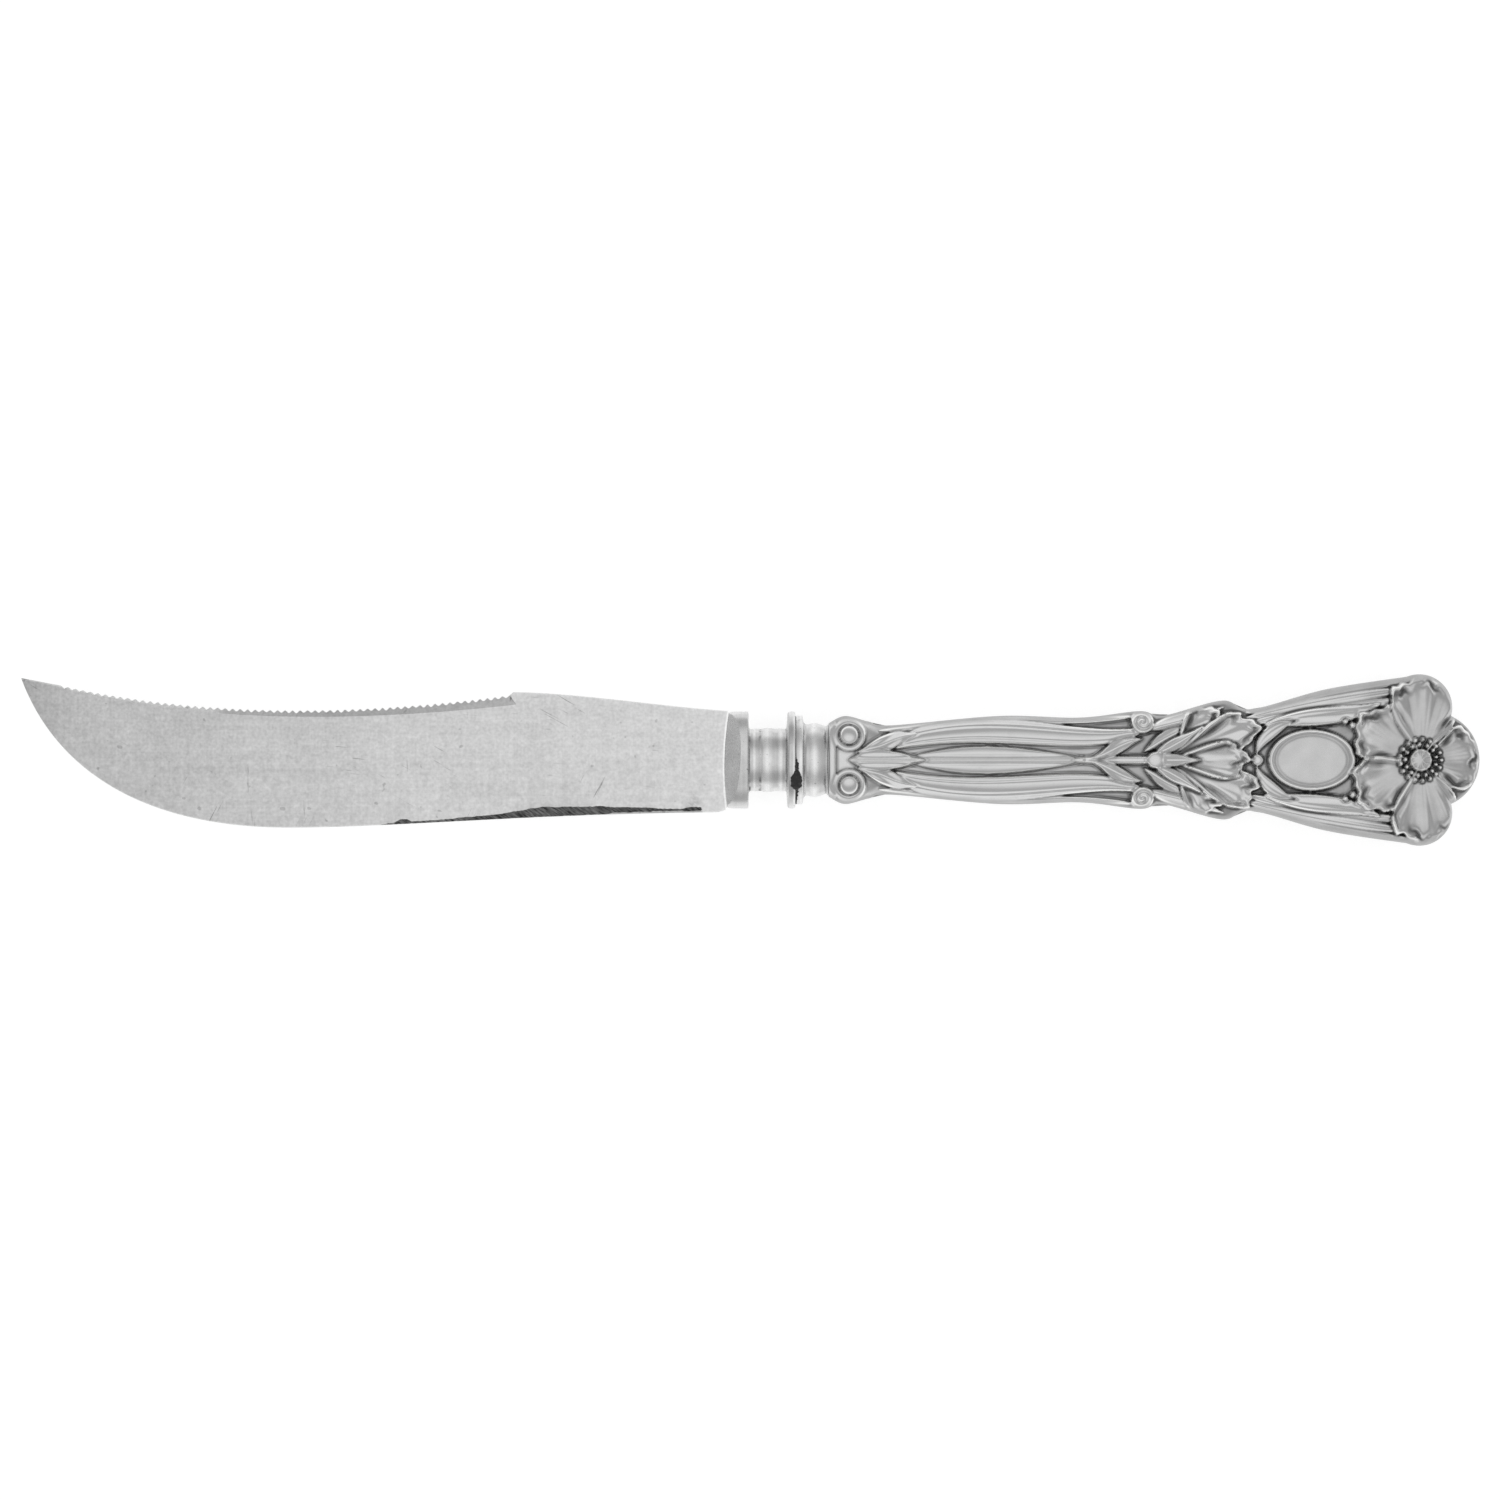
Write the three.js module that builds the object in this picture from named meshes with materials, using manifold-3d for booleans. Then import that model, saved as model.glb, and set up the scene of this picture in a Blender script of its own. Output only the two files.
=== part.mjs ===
// Silver fruit knife: a plated, saw-backed blade cemented into a hollow handle struck in two halves.
// Millimetres. +X runs from the tip to the handle's end, +Y is the saw-toothed back of the blade,
// and +Z is the front of the handle. The knife lies on the back of its handle, on Z = 0.
// While it is modelled, X = 0 is the joint between bolster and ferrule, and Z = 0 the mid-plane.

import * as THREE from "three";
import { mergeVertices } from "three/addons/utils/BufferGeometryUtils.js";
import Module from "manifold-3d";

const wasm = await Module();
wasm.setup();

// Whole knife
const REST_DEPTH = 4.7; // mid-plane to the plane that the knife lies on
const SEAT_GAP = 0.05; // between flat faces that are brazed, soldered or cemented together
const SLOT_GAP = 0.15; // round the tang, where it passes through another piece

// Blade: outline
const BLADE_LENGTH = 87.2; // heel to tip
const TIP_RISE = 10.15; // tip above the handle's axis
const BELLY_DEPTH = 8.35; // deepest point of the cutting edge below the axis
const BELLY_SETBACK = 33.1; // tip to that deepest point
const HEEL_BACK = 6.05; // back of the heel above the axis
const HEEL_BELLY = 6.45; // cutting edge at the heel below the axis
const HUMP_RISE = 8.4; // highest point of the plain back, where the saw ends
const HUMP_SETBACK = 60.85; // tip to that point
const SAW_SETBACK = 4.9; // tip to the first tooth
const SAW_START_RISE = 9.2; // saw's height above the axis at its first tooth
const SAW_END_RISE = 8.0; // and at its last
const SAW_SAG = 4.1; // how far the saw's curve handle at the tip hangs below its first tooth
const SAW_END_SAG = 2.46; // and the one at the hump, below its last tooth
const SAW_STEP = 0.4; // length of the step up from the saw to the plain back
const TOOTH_COUNT = 60;
const TOOTH_DEPTH = 0.42;
const TIP_BLUNT = 0.06; // length taken off the point

// Blade: how its curves leave their ends, as shares of their spans, and in millimetres where it says so
const TIP_LEAN = 0.1;
const TIP_DROP = 0.49;
const BELLY_LEVEL = 0.63; // belly on the tip's side of its deepest point
const HEEL_LEVEL = 0.25; // belly on the heel's side of it
const HEEL_LEAN = 0.45;
const HEEL_DROP = 0.15; // millimetres
const HUMP_LEAN = 0.3;
const HUMP_DROP = 0.1; // millimetres
const BACK_LEAN = 0.33;
const BACK_LIFT = 0.65; // millimetres

// Blade: section and tang
const BLADE_THICKNESS = 1.5;
const EDGE_THICKNESS = 0.16; // land left on the cutting edge and on the saw
const BELLY_BEVEL = 1.1; // width of the ground cutting edge
const SAW_BEVEL = 1.0; // width of the ground saw edge
const SPINE_BEVEL = 0.25; // width of the eased corner along the plain back
const BELLY_BEVEL_SHARE = 0.45; // most of the blade's height that each bevel takes near the tip
const BACK_BEVEL_SHARE = 0.3;
const LAND_SHARE = 0.9; // most of the blade's thickness that the land takes
const TIP_TAPER = 7.0; // blade height under which the tip is thinned
const HEEL_FILLET = 3.4; // length over which the heel swells to the bolster
const HEEL_THICKNESS = 2.4;
const HEEL_LAND = 0.8; // half-thickness that the land gains at the heel
const TANG_LENGTH = 52.0; // heel to the tang's end
const TANG_ROOT_HEIGHT = 4.6;
const TANG_ROOT_THICKNESS = 2.4;
const TANG_END_HEIGHT = 2.4;
const TANG_END_THICKNESS = 1.4;
const TANG_CHAMFER = 0.4; // share of the tang's half-thickness
const SLOT_OVERRUN = 1.0; // how far the tang's slot is cut past the heel

// Bolster: lengths along X from the heel
const BOLSTER_LENGTH = 8.4;
const CORNER = 0.25; // eased corners of the bolster and the ferrule
const DRUM_LENGTH = 2.7; // plain drum against the heel
const FACET_LENGTH = 1.55; // slanting facet on the front and on the back of the drum
const FACET_DEPTH = 2.1; // how deep it cuts at the heel
const NECK_BEAD_STATION = 4.75; // heel to the middle of the neck's bead
const NECK_BEAD_WIDTH = 0.8; // half of it
const FLANGE_WIDTH = 0.9;
const DRUM_HALF_HEIGHT = 6.0;
const DRUM_HALF_THICKNESS = 3.4;
const DRUM_POWER = 2.8; // squareness of the drum's section
const NECK_HALF_HEIGHT = 3.85;
const NECK_HALF_THICKNESS = 3.3;
const BEAD_RISE = 0.35; // neck bead above the neck
const DRUM_COVE = 0.25; // swell of the neck beside the drum
const FLANGE_COVE = 0.5; // and beside the flange
const FLANGE_HALF_HEIGHT = 6.0;

// Ferrule: lengths along X from the joint
const JOINT_WIDTH = 0.4; // ring of cement between bolster and ferrule
const FERRULE_LENGTH = 3.8;
const FERRULE_LIP_WIDTH = 0.7;
const FERRULE_LIP_HALF_HEIGHT = 5.5;
const FERRULE_LIP_HALF_THICKNESS = 4.5;
const FERRULE_HALF_HEIGHT = 4.35;
const FERRULE_HALF_THICKNESS = 3.7;
const FERRULE_BEAD_STATION = 2.3;
const FERRULE_BEAD_WIDTH = 0.6; // half of it
const FERRULE_BEAD_RISE = 0.2;
const FERRULE_COVE = 0.35; // swell of the ferrule beside its lip
const MOUTH_GROOVE = 0.15; // depth of the groove beside the handle
const FERRULE_BORE_HALF_HEIGHT = 3.1;
const FERRULE_BORE_HALF_THICKNESS = 2.2;
const CEMENT_RING_RECESS = 0.3; // cement ring below the ferrule's lip

// Handle shells: outline. A station is measured from the mouth and a setback from the handle's end,
// and each has its half-width.
const HANDLE_LENGTH = 80.4;
const MOUTH_HALF = 4.55;
const BUTT_STATION = 2.0;
const BUTT_HALF = 5.45; // swell that carries the two studs
const BUTT_HOLLOW = 0.1; // hollow of the outline between the swell and the waist
const WAIST_STATION = 7.8;
const WAIST_HALF = 4.3;
const GRIP_STATION = 21.0;
const GRIP_HALF = 5.45;
const TAPER_SETBACK = 49.4;
const TAPER_HALF = 5.25;
const KNUCKLE_SETBACK = 42.0;
const KNUCKLE_HALF = 6.05;
const THROAT_SETBACK = 39.0;
const THROAT_HALF = 5.5;
const SHOULDER_SETBACK = 31.8;
const SHOULDER_HALF = 7.35;
const NOTCH_SETBACK = 28.1;
const NOTCH_HALF = 6.3;
const FLARE_SETBACK = 18.9;
const FLARE_HALF = 8.75;
const SIDE_LOBE_SETBACK = 7.4;
const SIDE_LOBE_OFFSET = 6.6;
const SIDE_LOBE_RADIUS = 4.0;
const END_LOBE_RADIUS = 6.0;
const LOBE_JOIN_ANGLE = (112 * Math.PI) / 180; // where the flare runs into a side lobe

// Handle shells: thickness and wall
const WALL = 0.6;
const SEAM_SOLDER = 0.2; // thickness of the solder between the halves
const SECTION_POWER = 2.6; // roundness of the handle's section
const MOUTH_DEPTH = 3.0; // half-thickness of the ground under the relief, along the handle
const GRIP_DEPTH = 3.05;
const SHOULDER_DEPTH = 2.95;
const CARTOUCHE_DEPTH = 3.1;
const END_DEPTH = 3.1;
const CORE_GAP = 0.15; // cement's shrinkage from the shell
const HOLLOW_OVERRUN = 1.0; // how far the hollow is cut past the mouth

// Relief: a wild-flower design, the same on both halves, whose forms lie one over another. A leaf bends along
// a path of points, each a distance along the handle and an offset from its axis. lift is its height at its
// foot, middle and tip, crown the rise of its back, widest the share of its length where it is broadest, and
// blunt is under 1 where its ends are full.
const RELIEF_FADE = 10; // the relief dies away over one part in this many at the edge
const CROWN_SINK = 0.3; // share of a leaf's crown that its edges sink below its lift
const EDGE_SLOPE = 0.7; // width of the slope round a form
const MOUTH_BAND_WIDTH = 0.9;
const MOUTH_BAND_RISE = 0.95;
const PAD_RISE = 0.55; // swell under the studs, level to a station and then falling away
const PAD_STATION = 2.6;
const PAD_FALL = 3.4;
const STUD_STATION = 2.45;
const STUD_OFFSET = 3.1;
const STUD_PLATE_RADIUS = 2.05; // plate under each stud
const STUD_PLATE_RISE = 0.75;
const STUD_RADIUS = 1.2;
const STUD_RISE = 0.55;

// Leaves of the shaft, along from the mouth
const REED = {
  path: [[6.2, 3.6], [12, 3.9], [18, 5.3], [26, 4.8], [32, 4.7], [37.6, 5.4]],
  half: 0.6,
  lift: [0.3, 0.45, 0.45],
  crown: 0.35,
  widest: 0.5,
  blunt: 0.4,
};
const STRAP = {
  path: [[5.5, 1.2], [10, 2.9], [17, 4.7], [25, 3.6], [33, 1.5], [38.7, 3.8]],
  half: 1.45,
  lift: [0.55, 0.65, 0.75],
  crown: 0.55,
  widest: 0.5,
  blunt: 0.45,
};
const LONG_LEAF = {
  path: [[9, 0], [16, 0], [24, 0], [33, 0]],
  half: 1.75,
  lift: [0.3, 0.45, 0.5],
  crown: 0.5,
  widest: 0.42,
};
const MOUTH_SIDE_LEAF = {
  path: [[3.4, 1], [6.5, 1.1], [7.5, 3.1], [10.8, 3.2]],
  half: 1.05,
  lift: [0.8, 1, 0.7],
  crown: 0.5,
  widest: 0.45,
};
const MOUTH_LEAF = {
  path: [[2.4, 0], [6, 0], [12, 0]],
  half: 1.3,
  lift: [0.9, 1.05, 0.7],
  crown: 0.55,
  widest: 0.4,
};

// Half-open flower, along from its foot
const BLOOM_SETBACK = 39.4;
const STEM = {
  path: [[-11, 0], [-6, 0], [1, 0]],
  half: 0.55,
  lift: [0.6, 0.8, 1],
  crown: 0.4,
  widest: 0.5,
  blunt: 0.3,
};
const SPRAY = {
  path: [[-9.5, 0.1], [-6.6, 0.2], [-5.6, 2.5], [-2.4, 2.6]],
  half: 0.85,
  lift: [0.6, 0.9, 0.7],
  crown: 0.45,
  widest: 0.55,
};
const THROAT_LEAF = {
  path: [[-2.2, 3.6], [0.6, 4.5], [3.6, 5], [7.6, 6.5]],
  half: 0.95,
  lift: [0.5, 0.6, 0.5],
  crown: 0.45,
  widest: 0.45,
};
const INNER_LEAF = {
  path: [[-2.4, 1], [-0.4, 2.2], [1.4, 3.6], [4.4, 4.2]],
  half: 0.9,
  lift: [0.35, 0.5, 0.5],
  crown: 0.45,
  widest: 0.45,
};
const SCROLL_OFFSET = 4.7; // curled end of each strap, at the knuckle
const SCROLL_RADIUS = 1.45;
const SCROLL_LIFT = 0.75;
const SCROLL_RISE = 0.35;
const KNOB_STATION = -1; // knob at the foot of the flower
const KNOB_RADIUS = 1.05;
const KNOB_LIFT = 1;
const KNOB_RISE = 0.4;
const SEPAL = {
  path: [[-1.4, 0.3], [0.5, 1.5], [2.5, 2.4], [5, 4.2]],
  half: 0.75,
  lift: [1, 1.15, 1.1],
  crown: 0.4,
  widest: 0.4,
};
const FRONT_SEPAL = {
  path: [[-1.6, 0], [1, 0], [4.8, 0]],
  half: 0.85,
  lift: [1.1, 1.2, 1.1],
  crown: 0.4,
  widest: 0.35,
};

// A petal fans out from its foot, turned by an angle and spread to both sides of it, in degrees. It rises
// from its foot to its rim and is dished between them.
const PETAL_FULLNESS = 0.22; // under 1 a petal is broad at its rim
const BLOOM_SIDE_PETAL = {
  foot: [1.2, 1.2],
  turn: 40,
  spread: 33,
  length: 7.3,
  low: 0.6,
  high: 1,
  dish: 0.4,
};
const BLOOM_NEXT_PETAL = {
  foot: [0, 0],
  turn: 21,
  spread: 19,
  length: 12.3,
  low: 0.7,
  high: 1.1,
  dish: 0.4,
};
const BLOOM_FRONT_PETAL = {
  foot: [0, 0],
  turn: 0,
  spread: 21,
  length: 10.4,
  low: 0.9,
  high: 1.2,
  dish: 0.4,
};

// Cartouche, and what lies along from its middle
const CARTOUCHE_SETBACK = 21.1;
const CARTOUCHE_HALF_LENGTH = 5.4;
const CARTOUCHE_HALF_WIDTH = 3.8;
const CARTOUCHE_RISE = 0.65;
const BUD_STATION = -6.7; // bud between the two flowers
const BUD_RADIUS = 0.9;
const BUD_LIFT = 0.4;
const BUD_RISE = 0.4;
const RIB_COUNT = 3; // ribs on each side, which flare from their roots to the open flower
const RIB_ROOT = 4.35; // offset of the inmost rib's root, and the step to the next
const RIB_ROOT_STEP = 0.75;
const RIB_TIP = 7.4; // the same at its tip
const RIB_TIP_STEP = 1.175;
const RIB = {
  path: [[-7.9, 0], [-3.3, 1.05], [3.7, -0.95], [13.1, 0.25]], // offset from its root, and then its tip
  half: 0.66,
  lift: [0.35, 0.5, 0.4],
  crown: 0.4,
  widest: 0.5,
  blunt: 0.3,
};
const FLANK_LEAF = {
  path: [[-5.9, 4.2], [-0.8, 5.7], [4.7, 5], [8.5, 7]],
  half: 1.1,
  lift: [0.75, 0.95, 0.8],
  crown: 0.5,
  widest: 0.5,
  blunt: 0.7,
};
const CRESCENT = {
  path: [[-6.8, 0.7], [-6.5, 2.5], [-5, 4], [-1.9, 4.9]],
  half: 0.85,
  lift: [0.4, 0.55, 0.45],
  crown: 0.45,
  widest: 0.45,
};

// Open flower, from its middle, which is also that of the fan of the handle's end
const ROSE_SETBACK = 7.8;
const ROSE_END_PETAL = {
  foot: [0, 0],
  turn: 0,
  spread: 50,
  length: 7.9,
  low: 0.4,
  high: 0.85,
  dish: 0.4,
};
const ROSE_BACK_PETAL = {
  foot: [0, 0],
  turn: 148,
  spread: 39,
  length: 9.1,
  low: 0.5,
  high: 1,
  dish: 0.45,
};
const ROSE_SIDE_PETAL = {
  foot: [0, 0],
  turn: 83,
  spread: 41,
  length: 10.5,
  low: 0.7,
  high: 1,
  dish: 0.5,
};
const ROSE_RING_RADIUS = 2.75; // ring of stamens
const ROSE_RING_RISE = 0.9;
const ROSE_EYE_RADIUS = 1.7; // seed head, worn flat, on which the knife lies
const ROSE_EYE_LIFT = 1.3;
const ROSE_EYE_RISE = 0.7;

// Facets
const OVAL_STEPS = 36;
const BEAD_STEPS = 4;
const TIP_STEPS = 5; // sections of the blade before the saw, along its plain back and in its fillet
const BACK_STEPS = 10;
const FILLET_STEPS = 6;
const SHAFT_STEPS = 80; // outline steps along each edge of the handle, and along its hollow
const HOLLOW_STEPS = 29;
const LOBE_STEPS = 12; // outline steps round each lobe, and in its hollow
const HOLLOW_LOBE_STEPS = 6;
const TRACK_STEPS = 24; // points of a leaf's path
const RELIEF_ROWS = 12;
const RELIEF_CROWDING = 0.5; // 0 where the rows are even, 1 where they crowd to the edge as on a circle
const CAVITY_ROWS = 4;

const silver = new THREE.MeshStandardMaterial({ color: 0xc9c9c6, roughness: 0.3, metalness: 1 });
const plate = new THREE.MeshStandardMaterial({ color: 0xc4c4c2, roughness: 0.34, metalness: 1 });
const solder = new THREE.MeshStandardMaterial({ color: 0xa8a8a4, roughness: 0.45, metalness: 1 });
const cement = new THREE.MeshStandardMaterial({ color: 0x1d1a17, roughness: 0.85, metalness: 0 });

// Closed solids

function signedVolume(points, triangles) {
  return triangles.reduce(
    (sum, [a, b, c]) => sum + points[a].dot(points[b].clone().cross(points[c])) / 6,
    0,
  );
}

// A closed surface as a geometry, with its faces turned outwards and collapsed faces dropped.
function closedSurface(points, triangles) {
  const outwards = signedVolume(points, triangles) > 0;
  const corners = triangles
    .map(([a, b, c]) => (outwards ? [a, b, c] : [a, c, b]).map((i) => points[i]))
    .filter(([a, b, c]) => a.distanceTo(b) * b.distanceTo(c) * c.distanceTo(a) > 1e-12);
  return new THREE.BufferGeometry().setFromPoints(corners.flat());
}

function solidOf(geometry) {
  const merged = mergeVertices(geometry, 1e-4);
  return new wasm.Manifold(
    new wasm.Mesh({
      numProp: 3,
      vertProperties: merged.attributes.position.array,
      triVerts: new Uint32Array(merged.index.array),
    }),
  );
}

function geometryOf(solid) {
  const { vertProperties, triVerts } = solid.getMesh();
  const geometry = new THREE.BufferGeometry();
  geometry.setAttribute("position", new THREE.BufferAttribute(vertProperties, 3));
  geometry.setIndex(new THREE.BufferAttribute(triVerts, 1));
  geometry.computeVertexNormals();
  return geometry;
}

function cutFrom(geometry, ...tools) {
  return geometryOf(tools.reduce((solid, tool) => solid.subtract(solidOf(tool)), solidOf(geometry)));
}

// Skin over rings of equal count. A loop of rings closes on itself; otherwise its ends are capped.
function loft(rings, isLoop = false) {
  const count = rings[0].length;
  const points = rings.flat();
  const triangles = [];
  const spans = isLoop ? rings.length : rings.length - 1;
  for (let r = 0; r < spans; r++) {
    const near = r * count;
    const far = ((r + 1) % rings.length) * count;
    for (let i = 0; i < count; i++) {
      const j = (i + 1) % count;
      triangles.push([near + i, near + j, far + j], [near + i, far + j, far + i]);
    }
  }
  const last = (rings.length - 1) * count;
  for (let i = 1; !isLoop && i < count - 1; i++) {
    triangles.push([0, i + 1, i], [last, last + i, last + i + 1]);
  }
  return closedSurface(points, triangles);
}

function ovalRing(x, halfHeight, halfThickness, power = 2) {
  return Array.from({ length: OVAL_STEPS }, (_, i) => {
    const angle = (2 * Math.PI * i) / OVAL_STEPS;
    const rounded = (v) => Math.sign(v) * Math.abs(v) ** (2 / power);
    return new THREE.Vector3(
      x,
      halfHeight * rounded(Math.cos(angle)),
      halfThickness * rounded(Math.sin(angle)),
    );
  });
}

// Curves read at a station

function heightAt(curve, x) {
  let low = 0;
  let high = 1;
  for (let i = 0; i < 40; i++) {
    const middle = (low + high) / 2;
    if (curve.getPoint(middle).x < x) low = middle;
    else high = middle;
  }
  return curve.getPoint(low).y;
}

const spline = (pairs) => new THREE.SplineCurve(pairs.map(([x, y]) => new THREE.Vector2(x, y)));
const steps = (from, to, count) =>
  Array.from({ length: count + 1 }, (_, i) => from + ((to - from) * i) / count);
const smooth = (t) => THREE.MathUtils.smoothstep(t, 0, 1);

// Stations along X
const jointX = 0;
const bolsterEndX = jointX - JOINT_WIDTH / 2;
const heelX = bolsterEndX - BOLSTER_LENGTH;
const tipX = heelX - BLADE_LENGTH;
const ferruleX = jointX + JOINT_WIDTH / 2;
const mouthX = ferruleX + FERRULE_LENGTH + SEAT_GAP;
const handleEndX = mouthX + HANDLE_LENGTH;

// Stations of the handle, from its mouth
const taperStation = HANDLE_LENGTH - TAPER_SETBACK;
const knuckleStation = HANDLE_LENGTH - KNUCKLE_SETBACK;
const throatStation = HANDLE_LENGTH - THROAT_SETBACK;
const shoulderStation = HANDLE_LENGTH - SHOULDER_SETBACK;
const notchStation = HANDLE_LENGTH - NOTCH_SETBACK;
const flareStation = HANDLE_LENGTH - FLARE_SETBACK;
const sideLobeStation = HANDLE_LENGTH - SIDE_LOBE_SETBACK;
const endLobeStation = HANDLE_LENGTH - END_LOBE_RADIUS;
const bloomStation = HANDLE_LENGTH - BLOOM_SETBACK;
const cartoucheStation = HANDLE_LENGTH - CARTOUCHE_SETBACK;
const roseStation = HANDLE_LENGTH - ROSE_SETBACK;

// Blade with its tang, one forging

const tip = new THREE.Vector2(tipX, TIP_RISE);
const deepest = new THREE.Vector2(tipX + BELLY_SETBACK, -BELLY_DEPTH);
const heelBelly = new THREE.Vector2(heelX, -HEEL_BELLY);
const heelBack = new THREE.Vector2(heelX, HEEL_BACK);
const sawStart = new THREE.Vector2(tipX + SAW_SETBACK, SAW_START_RISE);
const hump = new THREE.Vector2(tipX + HUMP_SETBACK, HUMP_RISE);
const sawEnd = new THREE.Vector2(hump.x - SAW_STEP, SAW_END_RISE);

// A cubic whose handles are given as offsets from its two ends.
function cubic(from, outX, outY, to, backX, backY) {
  return new THREE.CubicBezierCurve(
    from,
    new THREE.Vector2(from.x + outX, from.y + outY),
    new THREE.Vector2(to.x + backX, to.y + backY),
    to,
  );
}

const bellySpan = deepest.x - tip.x;
const bellyDrop = tip.y - deepest.y;
const heelSpan = heelX - deepest.x;
const sawSpan = sawEnd.x - sawStart.x;
const humpSpan = heelX - hump.x;
const cuttingEdge = [
  cubic(tip, bellySpan * TIP_LEAN, -bellyDrop * TIP_DROP, deepest, -bellySpan * BELLY_LEVEL, 0),
  cubic(deepest, heelSpan * HEEL_LEVEL, 0, heelBelly, -heelSpan * HEEL_LEAN, -HEEL_DROP),
];
const sawLine = cubic(sawStart, sawSpan / 3, -SAW_SAG, sawEnd, -sawSpan / 3, -SAW_END_SAG);
const plainBack = cubic(
  hump,
  humpSpan * HUMP_LEAN,
  -HUMP_DROP,
  heelBack,
  -humpSpan * BACK_LEAN,
  BACK_LIFT,
);

const bellyAt = (x) => heightAt(cuttingEdge[x < deepest.x ? 0 : 1], x);

function backAt(x) {
  if (x < sawStart.x) return THREE.MathUtils.mapLinear(x, tip.x, sawStart.x, tip.y, sawStart.y);
  if (x < sawEnd.x) return heightAt(sawLine, x);
  if (x < hump.x) return THREE.MathUtils.mapLinear(x, sawEnd.x, hump.x, sawEnd.y, hump.y);
  return heightAt(plainBack, x);
}

// Eight-sided section: a land at the cutting edge and at the back, a bevel beside each, and two flats.
function bladeRing(x, back, belly, half, land, backShoulder, bellyShoulder) {
  return [
    [belly, -land],
    [belly, land],
    [bellyShoulder, half],
    [backShoulder, half],
    [back, land],
    [back, -land],
    [backShoulder, -half],
    [bellyShoulder, -half],
  ].map(([y, z]) => new THREE.Vector3(x, y, z));
}

// notch is how far a tooth's root is cut below the saw's line at this station.
function bladeStation(x, notch = 0) {
  const back = backAt(x);
  const belly = bellyAt(x);
  const height = back - belly;
  const swell = THREE.MathUtils.clamp((x - heelX + HEEL_FILLET) / HEEL_FILLET, 0, 1);
  const rise = 1 - Math.sqrt(1 - swell * swell);
  const thinning = Math.min(1, height / TIP_TAPER);
  const half = (BLADE_THICKNESS * thinning + (HEEL_THICKNESS - BLADE_THICKNESS) * rise) / 2;
  const land = Math.min(EDGE_THICKNESS / 2 + HEEL_LAND * rise, half * LAND_SHARE);
  const backBevel = x < hump.x ? SAW_BEVEL : SPINE_BEVEL;
  const backShoulder = back - Math.max(Math.min(backBevel, height * BACK_BEVEL_SHARE), notch);
  const bellyShoulder = belly + Math.min(BELLY_BEVEL, height * BELLY_BEVEL_SHARE);
  return bladeRing(x, back - notch, belly, half, land, backShoulder, bellyShoulder);
}

function tangRing(x, gap) {
  const along = (x - heelX) / TANG_LENGTH;
  const height = THREE.MathUtils.lerp(TANG_ROOT_HEIGHT, TANG_END_HEIGHT, along) / 2 + gap;
  const half = THREE.MathUtils.lerp(TANG_ROOT_THICKNESS, TANG_END_THICKNESS, along) / 2 + gap;
  const chamfer = half * TANG_CHAMFER;
  return bladeRing(x, height, -height, half, half - chamfer, height - chamfer, chamfer - height);
}

function bladeGeometry() {
  const rings = steps(tip.x + TIP_BLUNT, sawStart.x, TIP_STEPS).map((x) => bladeStation(x));
  const pitch = sawSpan / TOOTH_COUNT;
  for (let tooth = 0; tooth < TOOTH_COUNT; tooth++) {
    const crest = sawStart.x + tooth * pitch;
    rings.push(bladeStation(crest + pitch / 2, TOOTH_DEPTH), bladeStation(crest + pitch));
  }
  const filletX = heelX - HEEL_FILLET;
  rings.push(...steps(hump.x, filletX, BACK_STEPS).map((x) => bladeStation(x)));
  rings.push(...steps(filletX, heelX, FILLET_STEPS).slice(1).map((x) => bladeStation(x)));
  rings.push(tangRing(heelX, 0), tangRing(heelX + TANG_LENGTH, 0));
  return loft(rings);
}

// The space that the tang takes up in other pieces, with its clearance.
const tangSlot = () =>
  loft([
    tangRing(heelX - SLOT_OVERRUN, SLOT_GAP),
    tangRing(heelX + TANG_LENGTH + SLOT_GAP, SLOT_GAP),
  ]);

// Rings of a round bead, which stands up from the surface that ringOf makes.
const beadRings = (ringOf, middle, halfWidth, rise) =>
  steps(-1, 1, BEAD_STEPS).map((t) => ringOf(middle + t * halfWidth, rise * Math.sqrt(1 - t * t)));

// Bolster: faceted drum, beaded neck and flange

// What a facet takes off the drum: a wedge that slants away from the heel. side is 1 in front, -1 behind.
function facetWedge(side) {
  const middle = DRUM_HALF_THICKNESS - FACET_DEPTH;
  const near = [heelX - FACET_LENGTH, middle - FACET_DEPTH];
  const far = [heelX + 2 * FACET_LENGTH, middle + 2 * FACET_DEPTH];
  const corner = [near[0], far[1]];
  return loft(
    [-2 * DRUM_HALF_HEIGHT, 2 * DRUM_HALF_HEIGHT].map((y) =>
      [near, far, corner].map(([x, z]) => new THREE.Vector3(x, y, side * z)),
    ),
  );
}

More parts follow.
